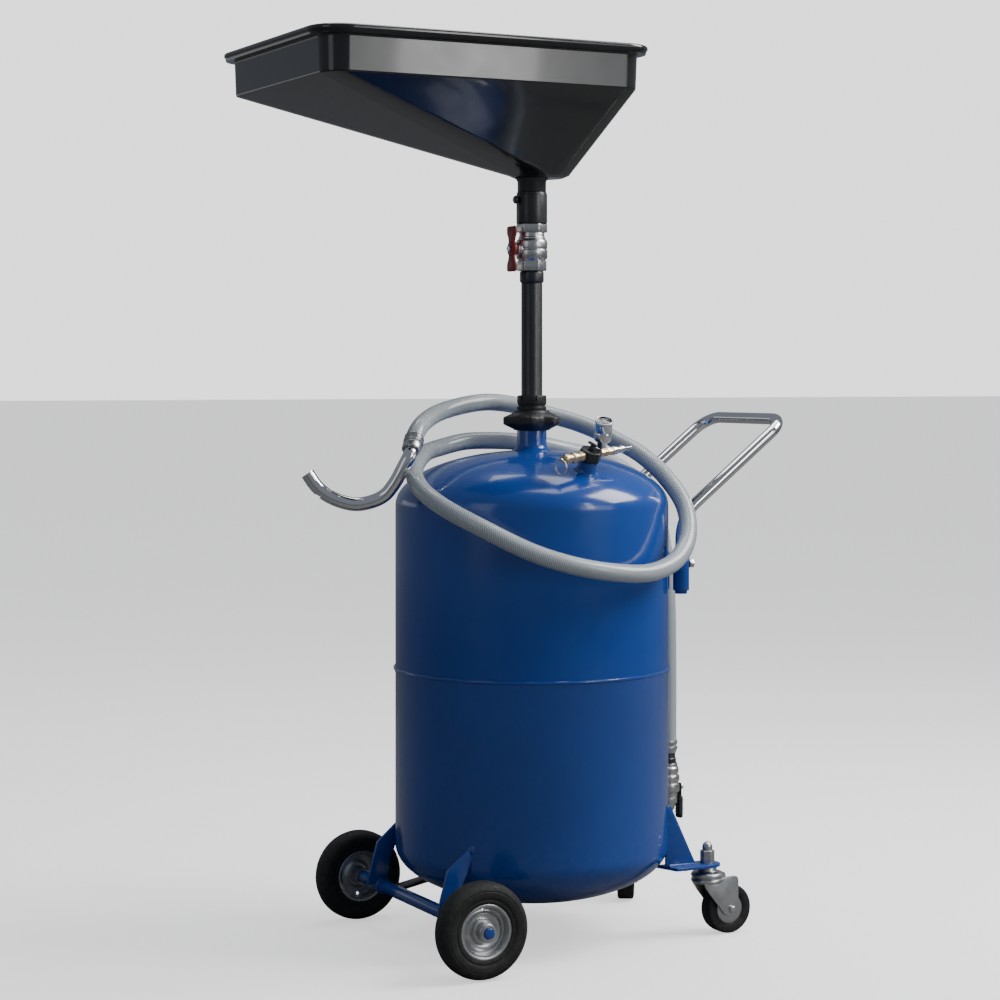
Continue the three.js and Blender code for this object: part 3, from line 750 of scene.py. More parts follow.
# ------------------------------------------------------------------ camera, light and floor
@dataclass
class Studio:
    """A level eye in front of the tank's left, a pale floor and soft lamps.

    The eye is in millimetres. The sight, the floor's size and its drop are in metres.
    """

    eye: Point = (-1719.6, -3300.2, 858.6)
    heading: float = 27.05
    drop: float = -0.1238
    focal_length: float = 87.2
    sensor: float = 36.0
    sight: float = 200.0
    floor_size: float = 160.0
    floor_drop: float = 0.0006
    floor_glow: float = 0.9
    pale: float = 1.9
    dim: float = 0.24

    def build(self) -> None:
        """Makes the camera, the floor, the lamps and the world."""
        self._camera()
        self._floor()
        self._world()
        white = (1.0, 1.0, 1.0)
        for lamp in (("key", (1900, -1000, 2500), (1500, 1500), 92, (1.0, 0.98, 0.95)),
                     ("strip", (1300, -3200, 1900), (400, 1600), 12, white),
                     ("top", (300, 300, 3300), (2000, 2000), 44, (0.97, 0.98, 1.0)),
                     ("left_fill", (-3200, -1200, 1600), (1200, 2000), 5, (0.93, 0.96, 1.0)),
                     ("front_panel", (1950, -3700, 1480), (2200, 1200), 13, white),
                     ("back_panel", (-2050, 4000, 1080), (2200, 560), 2.2, white)):
            self._lamp(*lamp)

    def _camera(self) -> None:
        """Sets the camera at the fitted eye, level and turned, with its lens shifted down."""
        lens = bpy.data.cameras.new("camera")
        lens.lens = self.focal_length
        lens.sensor_width = self.sensor
        lens.shift_y = self.drop
        lens.clip_end = self.sight
        camera = bpy.data.objects.new("camera", lens)
        camera.location = Vector(self.eye) * MM
        camera.rotation_euler = (math.pi / 2, 0, -math.radians(self.heading))
        bpy.context.scene.collection.objects.link(camera)
        bpy.context.scene.camera = camera

    def _floor(self) -> None:
        """Lays a large pale floor, which the gloss paint sees as dark ground near the object: painted shade
        that darkens the floor near the object for reflected and bounced light, while the camera sees it
        evenly pale.
        """
        clear_selection()
        bpy.ops.mesh.primitive_plane_add(size=self.floor_size, location=(0, 0, -self.floor_drop))
        floor = bpy.context.object
        floor.name = "floor"
        recipe = Recipe("pale_floor")
        seen = recipe.add("ShaderNodeLightPath").outputs["Is Camera Ray"]
        away = recipe.add("ShaderNodeVectorMath", {0: recipe.place}, operation="LENGTH").outputs["Value"]
        # painted shade: the colour that reflections and bounced light see goes from 0.75 far away down to
        # 0.18 near the object
        ground = recipe.spread(away, 0.18, 0.75, 3.0, 9.0)
        recipe.set(Base_Color=recipe.mixed(seen, ground, (0.86, 0.86, 0.86, 1)),
                   Roughness=0.8, Specular_IOR_Level=0.1, Emission_Color=(1, 1, 1, 1),
                   Emission_Strength=recipe.maths("MULTIPLY", seen, self.floor_glow))
        floor.data.materials.append(recipe.material)

    def _world(self) -> None:
        """Sets a pale surround that lights the object dimly."""
        world = bpy.data.worlds.new("surround")
        world.use_nodes = True
        tree = world.node_tree
        tree.nodes.clear()
        seen = tree.nodes.new("ShaderNodeLightPath").outputs["Is Camera Ray"]
        mix = tree.nodes.new("ShaderNodeMixShader")
        out = tree.nodes.new("ShaderNodeOutputWorld")
        tree.links.new(seen, mix.inputs[0])
        for number, colour, strength in ((1, (0.80, 0.87, 1.0, 1), self.dim), (2, (1, 1, 1, 1), self.pale)):
            ground = tree.nodes.new("ShaderNodeBackground")
            ground.inputs["Color"].default_value = colour
            ground.inputs["Strength"].default_value = strength
            tree.links.new(ground.outputs[0], mix.inputs[number])
        tree.links.new(mix.outputs[0], out.inputs["Surface"])
        bpy.context.scene.world = world

    def _lamp(self, name: str, at: Point, size: Point, power: float, colour: Point) -> None:
        """Hangs one soft rectangular lamp that faces the tank.

        Args:
            name: The lamp's name.
            at: Its place, in millimetres.
            size: Its width and height, in millimetres.
            power: Its power, in watts.
            colour: Its colour.
        """
        light = bpy.data.lights.new(name, "AREA")
        light.shape = "RECTANGLE"
        light.size, light.size_y = size[0] * MM, size[1] * MM
        light.energy = power
        light.color = colour
        lamp = bpy.data.objects.new(name, light)
        lamp.location = Vector(at) * MM
        aim = Vector((0, 0, 600)) - Vector(at)
        lamp.rotation_euler = aim.to_track_quat("-Z", "Y").to_euler()
        bpy.context.scene.collection.objects.link(lamp)


# ------------------------------------------------------------------ hose and spout
@dataclass
class DischargeLine:
    """The braided hose wound round the tank, and the hooked pipe at its end."""

    hose_radius: float = 13.5
    spout_radius: float = 10.4
    spout_bore: float = 8.6
    route: Sequence[Point] = (
        (244, 0, 262.3), (244, 0, 300), (244, 0, 400), (243, 1, 500), (240, 6, 580), (231, 20, 645),
        (212, 44, 691), (184, 68, 718), (151, 86, 732), (115, 94, 740), (73, 98, 749), (27, 104, 755),
        (-14, 114, 757), (-56, 118, 756), (-103, 106, 748), (-152, 66, 739), (-195, 10, 715),
        (-212, -54, 690), (-204, -111, 667), (-166, -172, 636), (-109, -208, 604), (-50, -229, 584),
        (18, -236, 572), (82, -225, 570), (138, -203, 586), (175, -173, 618), (190, -138, 661),
        (180, -102, 702), (158, -66, 736), (138, -26, 757), (119, 7, 773), (96, 35, 786),
        (65, 59, 797), (19, 80, 812), (-33, 86, 818), (-93, 73, 811), (-150, 44, 797),
        (-191, 9, 775), (-209, -9, 748))
    spout_route: Sequence[Point] = (
        (-209.6, -9.6, 747.1), (-213.6, -13.4, 741), (-223, -12, 723), (-234, -3, 698),
        (-246, 7, 680), (-265, 17, 670), (-287, 29, 667), (-318, 44, 678), (-336, 54, 694),
        (-348, 60, 713))

    def build(self) -> None:
        """Makes the hose, the spout and the tie between them."""
        path = [AXIS + point for point in smooth_path(self.route, 12)]
        hose = self._hose(path)
        self._spout()
        wire = self._tie(path)
        length = sum((b - a).length for a, b in zip(path, path[1:])) * MM

    def _hose(self, path: Sequence[Vector]) -> bpy.types.Object:
        """Builds the hose's wall with a UV map that runs round and along it.

        Args:
            path: The hose's centreline.

        Returns:
            The dressed hose.
        """
        sides = 24
        mesh = bpy.data.meshes.new("hose")
        skin = bmesh.new()
        layer = skin.loops.layers.uv.new("along")
        tangents = [(b - a).normalized() for a, b in zip(path, path[1:])]
        tangents.append(tangents[-1])
        across = tangents[0].orthogonal().normalized()
        rows, reach = [], [0.0]
        for i, (point, tangent) in enumerate(zip(path, tangents)):
            across = (across - tangent * across.dot(tangent)).normalized()
            up = tangent.cross(across)
            rows.append([skin.verts.new((point + self.hose_radius * (
                math.cos(math.tau * k / sides) * across + math.sin(math.tau * k / sides) * up)) * MM)
                for k in range(sides)])
            if i:
                reach.append(reach[-1] + (point - path[i - 1]).length * MM)
        for i, (row, following) in enumerate(zip(rows, rows[1:])):
            for k in range(sides):
                corners = [(row, k, i), (row, k + 1, i), (following, k + 1, i + 1),
                           (following, k, i + 1)]
                face = skin.faces.new([line[column % sides] for line, column, _ in corners])
                face.smooth = True
                for loop, (_, column, number) in zip(face.loops, corners):
                    loop[layer].uv = (column / sides, reach[number])
        skin.faces.new(list(reversed(rows[0])))
        skin.faces.new(rows[-1])
        skin.to_mesh(mesh)
        skin.free()
        hose = bpy.data.objects.new("hose", mesh)
        bpy.context.scene.collection.objects.link(hose)
        return dressed(hose, HOSE, "tank", "discharge_hose")

    def _spout(self) -> None:
        """Sweeps the hooked pipe and opens its mouth."""
        path = [AXIS + point for point in smooth_path(self.spout_route, 8)]
        pipe = tube("spout", path, self.spout_radius, 32)
        end = path[-1]
        aim = (path[-1] - path[-2]).normalized()
        bore = tube("spout_bore", [end - 40 * aim, end + 10 * aim], self.spout_bore, 32)
        pipe = drilled(pipe, bore)
        dressed(pipe, CHROME, "tank", "pickup_spout")

    def _tie(self, path: Sequence[Vector]) -> bpy.types.Object:
        """Winds a few turns of wire round the hose's end and rings the end with a band.

        Args:
            path: The hose's centreline.

        Returns:
            The dressed tie.
        """
        end = path[-1]
        aim = (path[-1] - path[-4]).normalized()
        facing = aim.to_track_quat("Z", "Y").to_matrix()
        turns, steps = 5, 30
        coil = []
        for i in range(turns * steps + 1):
            angle = math.tau * i / steps
            radius = self.hose_radius + 0.7
            coil.append(end - (24 - 2.6 * i / steps) * aim
                        + facing @ Vector((radius * math.cos(angle), radius * math.sin(angle), 0)))
        wire = tube("hose_tie", coil, 1.0, 8)
        band = ring("hose_end_band", [(10.9, -9), (14.3, -9), (14.6, -7), (14.6, -1), (14.3, 0.8),
                                      (10.9, 0.8)], 48, 0.3)
        placed(band, within=Matrix.Translation(end) @ facing.to_4x4())
        return dressed(welded("hose_tie", wire, band), ZINC, "tank")


# ------------------------------------------------------------------ tank
@dataclass
class Tank:
    """The two dished shells, their seam and the neck."""

    radius: float = 210.0
    wall: float = 3.0
    rise: float = 84.0
    base: float = 142.0
    shoulder: float = 661.0
    steps: int = 160

    def dish(self, radius: float, rise: float, edge: float, way: int, inner: float,
             steps: int = 28) -> list[Point]:
        """A dished end's profile from the cylinder's edge to a radius near the axis.

        Args:
            radius: The cylinder's radius.
            rise: The dish's depth.
            edge: The height where it starts.
            way: 1 for upwards or -1 for downwards.
            inner: The radius where it ends.
            steps: The count of spans.

        Returns:
            The profile's points.
        """
        last = math.acos(inner / radius)
        return [(radius * math.cos(last * i / steps), edge + way * rise * math.sin(last * i / steps))
                for i in range(steps)] + [(inner, edge + way * rise * math.sin(last))]

    def height_at(self, radius: float) -> float:
        """The dome's height at a distance from the axis."""
        return self.shoulder + self.rise * math.sqrt(1 - (radius / self.radius) ** 2)

    def build(self) -> None:
        """Makes and dresses the tank's pieces."""
        self._shells()
        self._seam()
        self._neck()

    def _shells(self) -> None:
        """Spins the lower and upper shells."""
        seam_low = highest("tank_lower_shell").z
        seam_high = lowest("tank_upper_shell").z
        inner, inner_rise = self.radius - self.wall, self.rise - self.wall
        lower = turned("lower_shell", [
            *reversed(self.dish(self.radius, self.rise, self.base, -1, 0)),
            (self.radius, seam_low - 8), (self.radius + 0.9, seam_low - 5),
            (self.radius + 0.9, seam_low), (inner, seam_low),
            *self.dish(inner, inner_rise, self.base, -1, 0)], self.steps, 0)
        hole = highest("neck_pipe").x - AXIS.x
        upper = ring("upper_shell", [
            (inner, seam_high), (self.radius, seam_high),
            *self.dish(self.radius, self.rise, self.shoulder, 1, hole),
            *reversed(self.dish(inner, inner_rise, self.shoulder, 1, hole))], self.steps, 0)
        dressed(placed(lower, AXIS), BLUE, "tank", "tank_lower_shell")
        dressed(placed(upper, AXIS), BLUE, "tank", "tank_upper_shell")

    def _seam(self) -> None:
        """Lays the seam's weld bead with its ripples."""
        clear_selection()
        bpy.ops.mesh.primitive_torus_add(major_segments=360, minor_segments=10,
                                         major_radius=(self.radius + 0.8) * MM, minor_radius=2.2 * MM)
        bead = bpy.context.object
        bead.name = "seam_bead"
        ripples = 150
        for vertex in bead.data.vertices:
            angle = math.atan2(vertex.co.y, vertex.co.x)
            swell = 1 + 0.0012 * math.sin(ripples * angle) + 0.0009 * math.sin(7 * angle)
            vertex.co.x *= swell
            vertex.co.y *= swell
            vertex.co.z *= 1.05 + 0.12 * math.sin(23 * angle)
        soft(bead, 0)
        dressed(placed(bead, AXIS + Vector((0, 0, middle("seam_weld").z))), BLUE, "tank", "seam_weld")

    def _neck(self) -> None:
        """Turns the neck with the fillet that welds it to the dome."""
        top = highest("neck_pipe").z
        radius = highest("neck_pipe").x - AXIS.x
        foot = self.height_at(radius)
        neck = ring("neck", [
            (17.6, top - 60), (radius + 9, foot - 6), (radius + 8.5, self.height_at(radius + 8) + 0.4),
            (radius + 5, foot + 1.6), (radius + 2.2, foot + 4), (radius + 0.6, foot + 8),
            (radius, foot + 13), (radius, top - 1), (radius - 1, top), (17.6, top)], 64, 0.3)
        dressed(placed(neck, AXIS), BLUE, "tank", "neck_pipe")


# ------------------------------------------------------------------ post
@dataclass
class Post:
    """The star nut, the split collet, the tube, its bushing and the stop at its foot."""

    tube_radius: float = 16.3
    lobes: int = 6
    nut_radius: float = 43.5
    lobe: float = 4.7
    hub: float = 27.0

    def build(self) -> None:
        """Makes and dresses the post's pieces."""
        self._nut()
        self._collet()
        self._tube()
        self._bushing()

    def _star(self, share: float, height: float) -> list[Point]:
        """One ring of the star nut: share 0 is its round hub and 1 its full lobes.

        Args:
            share: How far the lobes have grown out of the hub.
            height: The ring's height.

        Returns:
            The ring's points.
        """
        count = 120
        points = []
        for i in range(count):
            angle = math.tau * i / count
            full = self.nut_radius + self.lobe * math.cos(self.lobes * angle)
            full += 1.2 * abs(math.cos(self.lobes * angle / 2)) - 1.2
            radius = self.hub + (full - self.hub) * share
            points.append((radius * math.cos(angle), radius * math.sin(angle), height))
        return points

    def _nut(self) -> None:
        """Lofts the star nut, whose lobes thin out towards their tips."""
        low, high = lowest("locking_nut").z, highest("locking_nut").z
        rings = [self._star(share, height) for share, height in (
            (-0.05, low), (0.0, low + 0.6), (0.45, low + 4.5), (0.93, low + 9), (1.0, low + 10.5),
            (1.0, high - 11.5), (0.93, high - 10), (0.45, high - 6), (0.06, high - 3), (0.0, high - 1),
            (-0.08, high))]
        bore = 17.0
        count = len(rings[0])
        for height in (high, low):
            rings.append([(bore * math.cos(math.tau * i / count), bore * math.sin(math.tau * i / count),
                           height) for i in range(count)])
        nut = lofted("star_nut", rings, True, 0.5, 40)
        dressed(placed(nut, AXIS), NYLON, "locking_nut", "locking_nut")

    def _collet(self) -> None:
        """Turns the collet's collar and saws its slits."""
        top = highest("collet").z
        foot = highest("locking_nut").z + 0.3
        bore = self.tube_radius + 0.3
        collet = ring("split_collet", [
            (bore, foot - 6), (19.2, foot - 6), (19.2, foot), (22.5, foot), (22.5, foot + 5),
            (20.6, foot + 6), (20.6, foot + 8), (22.5, foot + 9), (22.5, top - 1.5), (21.4, top),
            (bore + 1.4, top), (bore, top - 1.4)], 64, 0.3)
        slits = []
        for i in range(3):
            slit = slab(f"slit_{i}", (60, 1.6, 12), (0, 0, top - 3), 0)
            slits.append(placed(slit, (0, 0, 0), (0, 0, 20 + 60 * i)))
        dressed(placed(drilled(collet, *slits), AXIS), NYLON, "tank", "collet")

    def _tube(self) -> None:
        """Turns the sliding tube with the stop ring inside the tank."""
        low, high = lowest("post_tube").z, highest("post_tube").z
        radius = self.tube_radius
        piece = ring("sliding_tube", [
            (13, low), (22, low), (23, low + 1), (23, low + 8), (22, low + 9), (radius, low + 9),
            (radius, high - 0.6), (radius - 0.6, high), (13, high)], 64, 0.2)
        dressed(placed(piece, AXIS), BLACK_PAINT, "post", "post_tube")

    def _bushing(self) -> None:
        """Turns the reducing bushing under the valve."""
        low, high = lowest("post_bushing").z, highest("post_bushing").z
        piece = ring("reducing_bushing", [
            (9, low), (16.6, low), (18, low + 2.2), (18.6, low + 3), (18.6, high - 3), (18, high - 1),
            (17, high), (9, high)], 64, 0.4)
        dressed(placed(piece, AXIS), BLACK_PAINT, "post", "post_bushing")


# ------------------------------------------------------------------ drain valve
@dataclass
class DrainValve:
    """The ball valve between post and pan, with its red butterfly lever."""

    bore: float = 10.0

    def build(self) -> None:
        """Makes and dresses the valve's pieces."""
        self._body()
        self._end()
        self._lever()

    def _body(self) -> None:
        """Turns the barrel with its grooves, and adds the hexagon foot and the stem's neck."""
        low, high = lowest("valve_body").z, highest("valve_body").z
        middle_height = middle("valve_ball").z
        barrel = ring("valve_barrel", [
            (self.bore, low + 2), (20, low + 14), (21.6, low + 17.5), (23.4, low + 19), (24.2, low + 20.5),
            (24.2, low + 31.5), (23.7, low + 32.2), (22.9, low + 32.8), (22.9, low + 34),
            (23.7, low + 34.6), (24, low + 36), (24, low + 44), (23.4, low + 46.5),
            (21.8, low + 48.4), (20.4, low + 49.4), (20.4, low + 51.6), (19.4, low + 53),
            (19.4, high), (self.bore, high)], 80, 0.35)
        foot = placed(hex_block("valve_foot", 40, 15.7, 1.2), (0, 0, low))
        neck = turned("stem_neck", [(0, 0), (9.5, 0), (9.5, 3), (11, 4), (11, 27), (0, 27)], 32)
        neck = placed(neck, (-27.5, 0, middle_height), (0, 90, 0))
        body = welded("valve_barrel", barrel, foot, neck)
        dressed(placed(body, AXIS), SATIN, "post", "valve_body")

    def _end(self) -> None:
        """Makes the upper hexagon and its nipple."""
        low = highest("valve_body").z + 0.3
        cap = placed(hex_block("valve_cap", 42, 13.4, 1.4), (0, 0, low))
        nipple = ring("nipple", [(self.bore, low + 4), (16, low + 4), (16, highest("valve_end").z),
                                 (self.bore, highest("valve_end").z)], 48)
        dressed(placed(welded("valve_cap", cap, nipple), AXIS), SATIN, "post", "valve_end")

    def _lever(self) -> None:
        """Presses the butterfly lever with its domed hub, and the nut that holds it."""
        half = [(8.5, 12), (10.5, 18), (14, 23), (14, 34), (9, 35)]
        outline = [(9.5, 0), *half, *[(-x, y) for x, y in reversed(half)], (-9.5, 0),
                   *[(-x, -y) for x, y in half], *[(x, -y) for x, y in reversed(half)]]
        wings = sheet_metal("butterfly_lever", outline, 4.4, 1.6)
        wings = placed(wings, (-36.6, 0, 0), (90, 0, 90))
        hub = turned("lever_hub", [(0, 0), (12.5, 0), (13, 2), (12.4, 5), (9.5, 7), (0, 7)], 48, 0.6)
        hub = placed(hub, (-31.2, 0, 0), (0, -90, 0))
        lever = welded("butterfly_lever", wings, hub)
        spot = AXIS + Vector((0, 0, middle("valve_ball").z))
        dressed(placed(lever, spot), RED, "valve_lever", "valve_lever")
        nut = placed(hex_block("lever_nut", 10, 2.6, 0.5), (-38.4, 0, 0), (0, -90, 0))
        stem = turned("lever_stem", [(0, 0), (3, 0), (3, 3.2), (2.4, 3.8), (0, 3.8)], 24, 0.2)
        stem = placed(stem, (-38.6, 0, 0), (0, -90, 0))
        dressed(placed(welded("lever_nut", nut, stem), spot), ZINC, "valve_lever", "valve_lever_nut")


# ------------------------------------------------------------------ pan
@dataclass
class CatchPan:
    """The moulded pan, its strainer, the collar that it turns in and the thumb screw."""

    left: float = -422.0
    right: float = 87.0
    half_width: float = 193.0
    corner: float = 34.0
    sump_x: float = 12.0
    sump: float = 38.0
    wall_foot: float = 1286.0
    rim_foot: float = 1337.4
    rim_reach: float = 18.0
    wall: float = 3.0
    per_corner: int = 14

    def _round_box(self, x: float, half_x: float, half_y: float, corner: float,
                   height: float) -> list[Point]:
        """A corner-rounded rectangle whose count of points never changes.

        Args:
            x: The middle of the rectangle on X.
            half_x: Half its length.
            half_y: Half its width.
            corner: The corners' radius.
            height: The ring's height.

        Returns:
            The ring's points.
        """
        radius = min(corner, half_x, half_y) * 0.995
        points = []
        for quarter, (sign_x, sign_y) in enumerate(((1, 1), (-1, 1), (-1, -1), (1, -1))):
            for i in range(self.per_corner + 1):
                angle = (quarter + i / self.per_corner) * math.pi / 2
                points.append((x + sign_x * (half_x - radius) + radius * math.cos(angle),
                               sign_y * (half_y - radius) + radius * math.sin(angle), height))
        return points

    def _rim(self, grow: float, height: float) -> list[Point]:
        """A ring of the pan's outline, grown a little."""
        centre, half = (self.left + self.right) / 2, (self.right - self.left) / 2
        return self._round_box(centre, half + grow, self.half_width + grow, self.corner + grow, height)

    def _sump(self, half: float, height: float) -> list[Point]:
        """A round ring about the sump."""
        return self._round_box(self.sump_x, half, half, half, height)

    def _hole(self, height: float) -> list[Point]:
        """A ring round the drain hole."""
        return self._round_box(0, 12, 12, 12, height)

    def _between(self, lower: list[Point], upper: list[Point], share: float) -> list[Point]:
        """A ring part of the way from one ring to another."""
        return [tuple(Vector(a).lerp(Vector(b), share)) for a, b in zip(lower, upper)]

    def build(self) -> None:
        """Makes and dresses the pan's pieces."""
        self._pan()
        self._strainer()
        self._mount()

    def _pan(self) -> None:
        """Lofts the pan from its drain hole out over the rolled rim and back down inside."""
        floor = lowest("drain_pan").z
        top = highest("drain_pan").z
        foot, wall, reach = self.wall_foot, self.wall, self.rim_reach
        lip = 4.5
        outer_low, outer_high = self._sump(self.sump + 9, floor + 4), self._rim(-1.2, foot - 1.6)
        inner_low, inner_high = self._sump(self.sump + 5, floor + 8), self._rim(-wall - 1, foot + 1)
        outside = [self._hole(floor), self._sump(self.sump, floor), outer_low,
                   *[self._between(outer_low, outer_high, share) for share in (0.25, 0.5, 0.75)],
                   outer_high, self._rim(0, foot + 1.2), self._rim(1.8, self.rim_foot - 3)]
        rim = [self._rim(3.2, self.rim_foot - 0.8), self._rim(5, self.rim_foot),
               self._rim(reach - 3, self.rim_foot)]
        rim += [self._rim(reach - lip + lip * math.cos(angle),
                          top - lip + lip * math.sin(angle))
                for angle in (math.radians(a) for a in (-60, -20, 10, 35, 60, 90))]
        rim += [self._rim(4, top), self._rim(1.5, top - 0.6), self._rim(0.2, top - 2.4),
                self._rim(-0.8, top - 6)]
        inside = [self._rim(-wall, foot + 5), inner_high,
                  *[self._between(inner_high, inner_low, share) for share in (0.25, 0.5, 0.75)],
                  inner_low, self._sump(self.sump - 1, floor + wall), self._hole(floor + wall)]
        pan = placed(lofted("catch_pan", outside + rim + inside, True), AXIS)
        flat = pan.modifiers.new("flat_walls", "WEIGHTED_NORMAL")
        flat.keep_sharp = True
        flat.weight = 100
        bpy.ops.object.modifier_apply(modifier=flat.name)
        dressed(pan, PAN_PLASTIC, "pan", "drain_pan")

    def _strainer(self) -> None:
        """Punches the strainer plate's holes."""
        spot = middle("pan_strainer")
        disc = turned("strainer", [(0, 0), (27, 0), (27, 1.5), (0, 1.5)], 64, 0.3)
        drills = []
        for ring_radius, count in ((0, 1), (9, 6), (18, 12)):
            for i in range(count):
                angle = math.tau * i / count
                drill = turned("drill", [(0, -3), (2.6, -3), (2.6, 5), (0, 5)], 12, 0)
                drills.append(placed(drill, (ring_radius * math.cos(angle),
                                             ring_radius * math.sin(angle), 0)))
        disc = drilled(disc, welded("drills", *drills))
        dressed(placed(disc, spot - Vector((0, 0, 0.75))), ZINC, "pan", "pan_strainer")

    def _mount(self) -> None:
        """Turns the drain tube, the collar and the thumb screw."""
        low, high = lowest("drain_tube").z, highest("drain_tube").z
        drain = ring("drain_neck", [
            (12, low), (22.1, low), (22.1, high - 6), (23.4, high - 3), (26, high - 0.4), (12, high - 0.4)],
            64, 0.4)
        dressed(placed(drain, AXIS), BLACK_PAINT, "pan", "drain_tube")
        low, high = lowest("pan_collar").z, highest("pan_collar").z
        collar = ring("swivel_collar", [
            (16.4, low), (22.6, low), (23.8, low + 1.4), (23.8, high - 3.5), (23.2, high - 2.8),
            (23.2, high), (16.4, high)], 64, 0.4)
        dressed(placed(collar, AXIS), BLACK_PAINT, "pan", "pan_collar")
        spot = AXIS + Vector((0, 0, middle("pan_clamp_screw").z))
        shank = turned("thumb_shank", [(0, 0), (3, 0), (3, 8), (0, 8)], 24, 0)
        shank = placed(shank, (-16.7, 0, 0), (0, -90, 0))
        head = turned("thumb_head", [(0, 0), (3.6, 0), (4.6, 1.6), (6.2, 2.6), (6.4, 5), (5, 6.6),
                                     (0, 7)], 32, 0.3)
        head = placed(head, (-24, 0, 0), (0, -90, 0))
        dressed(placed(welded("thumb_screw", shank, head), spot), BLACK_PAINT, "pan_clamp_screw",
                "pan_clamp_screw")


# ------------------------------------------------------------------ air fittings
@dataclass
class AirFittings:
    """The manifold on the dome with its safety valve, gauge, shut-off and inlet plug.

    Its frame stands square to the dome, with X along the line of the ports.
    """

    x: float = 9.0
    y: float = -156.0
    turn: float = 15.0
    port_height: float = 27.5
    port_reach: float = 17.2
    gauge_reach: float = 22.0
    gauge_lean: float = -11.0
    ring_radius: float = 11.0
    pull_reach: float = 61.5

    def frame(self, tank: Tank) -> Matrix:
        """The fittings' frame, in millimetres, within the whole object's frame.

        Args:
            tank: The tank that they stand on.

        Returns:
            The frame as a matrix.
        """
        height = tank.height_at(math.hypot(self.x, self.y))
        outward = Vector((self.x / tank.radius ** 2, self.y / tank.radius ** 2,
                          (height - tank.shoulder) / tank.rise ** 2)).normalized()
        level = Vector((0, 0, 1)).cross(outward).normalized()
        uphill = outward.cross(level)
        basis = Matrix((level, uphill, outward)).transposed().to_4x4()
        spot = Matrix.Translation(AXIS + Vector((self.x, self.y, height)))
        return spot @ basis @ Matrix.Rotation(math.radians(self.turn), 4, "Z")

    def build(self, tank: Tank) -> None:
        """Makes and dresses the fittings.

        Args:
            tank: The tank that they stand on.
        """
        here = self.frame(tank)
        self._block(here)
        self._safety(here)
        self._inlet(here)
        self._gauge(here)

    def _block(self, here: Matrix) -> None:
        """Makes the stub with its weld, the hexagon manifold and the shut-off's spindle.

        Args:
            here: The fittings' frame.
        """
        stub = ring("air_stub_pipe", [
            (7, -8), (19.5, -8), (19.5, -1.2), (17.6, 0.8), (16, 3), (15, 7), (15, 18.1), (14.4, 18.7),
            (7, 18.7)], 48, 0.3)
        dressed(placed(stub, within=here), BLUE, "tank", "air_stub")
        block = hex_block("manifold_block", 31, 17, 2.2)
        dressed(placed(block, (0, 0, 19), within=here), BLACK_PAINT, "tank", "air_manifold")
        spindle = turned("shutoff_spindle", [(0, 28), (3, 28), (3, 36.6), (4.6, 37), (4.6, 39.5), (3, 40),
                                             (3, 44), (0, 44)], 24, 0.3)
        bar = slab("shutoff_bar", (5.6, 17, 3), (0, 0, 45), 1.2)
        dressed(placed(welded("shutoff_key", spindle, bar), within=here), BLACK_PAINT,
                "shutoff_lever", "shutoff_lever")

    def _along(self, piece: bpy.types.Object, way: int, here: Matrix) -> bpy.types.Object:
        """Lays a piece turned about Z along the line of the ports."""
        return placed(piece, (0, 0, self.port_height), (0, 90 * way, 0), here)

    def _safety(self, here: Matrix) -> None:
        """Turns the safety valve and hangs the pull ring on its pin.

        Args:
            here: The fittings' frame.
        """
        start = self.port_reach
        body = ring("safety_valve_body", [
            (3.4, start), (8.2, start), (8.2, start + 8), (7.5, start + 8.6), (7.5, start + 9.6),
            (8.2, start + 10.2), (8.2, start + 21), (7.6, start + 22.5), (6.6, start + 23.4),
            (6.6, start + 25.6), (8, start + 26.6), (8, start + 36), (7, start + 39), (5.4, start + 41),
            (3.4, start + 41)], 48, 0.3)
        dressed(self._along(body, -1, here), BRASS, "tank", "safety_valve")
        pin = turned("pull_pin", [(0, start + 8), (2.8, start + 8), (2.8, self.pull_reach + 1),
                                  (1.8, self.pull_reach + 2), (0, self.pull_reach + 2)], 24, 0.2)
        pin = self._along(pin, -1, here)
        end = here @ Vector((-self.pull_reach, 0, self.port_height))
        facing = here.to_3x3() @ Vector((1, 0, 0))
        facing.z = 0
        centre = end - Vector((0, 0, self.ring_radius - 0.5))
        hoops = [tube(f"pull_hoop_{i}", circle_path(centre + facing * (0.62 * (2 * i - 1)),
                                                    self.ring_radius, 56, facing), 0.62, 8, True)
                 for i in range(2)]
        dressed(welded("pull_ring", pin, *hoops), ZINC, "safety_pull", "safety_pull_ring")

    def _inlet(self, here: Matrix) -> None:
        """Turns the brass tee and the stepped plug at its end.

        Args:
            here: The fittings' frame.
        """
        start = self.port_reach
        tee = ring("inlet_tee_body", [
            (2.6, start), (6.2, start), (6.2, start + 1.6), (7, start + 2.6), (7, start + 12),
            (6.2, start + 13), (6.2, start + 16), (7, start + 17), (7, start + 28.4), (6.4, start + 29),
            (2.6, start + 29)], 6, 0.5)
        dressed(self._along(tee, 1, here), BRASS, "tank", "inlet_tee")
        first = start + 29.3
        plug = ring("quick_plug", [
            (2.2, first), (6.5, first), (6.5, first + 9.6), (5.6, first + 10.8), (5, first + 11.6),
            (5, first + 17), (5.9, first + 18.4), (5.9, first + 24), (4.6, first + 25.6),
            (3.8, first + 26.6), (3.8, first + 40.8), (3.2, first + 41.7), (2.2, first + 41.7)], 48, 0.25)
        dressed(self._along(plug, 1, here), CHROME, "tank", "air_plug")

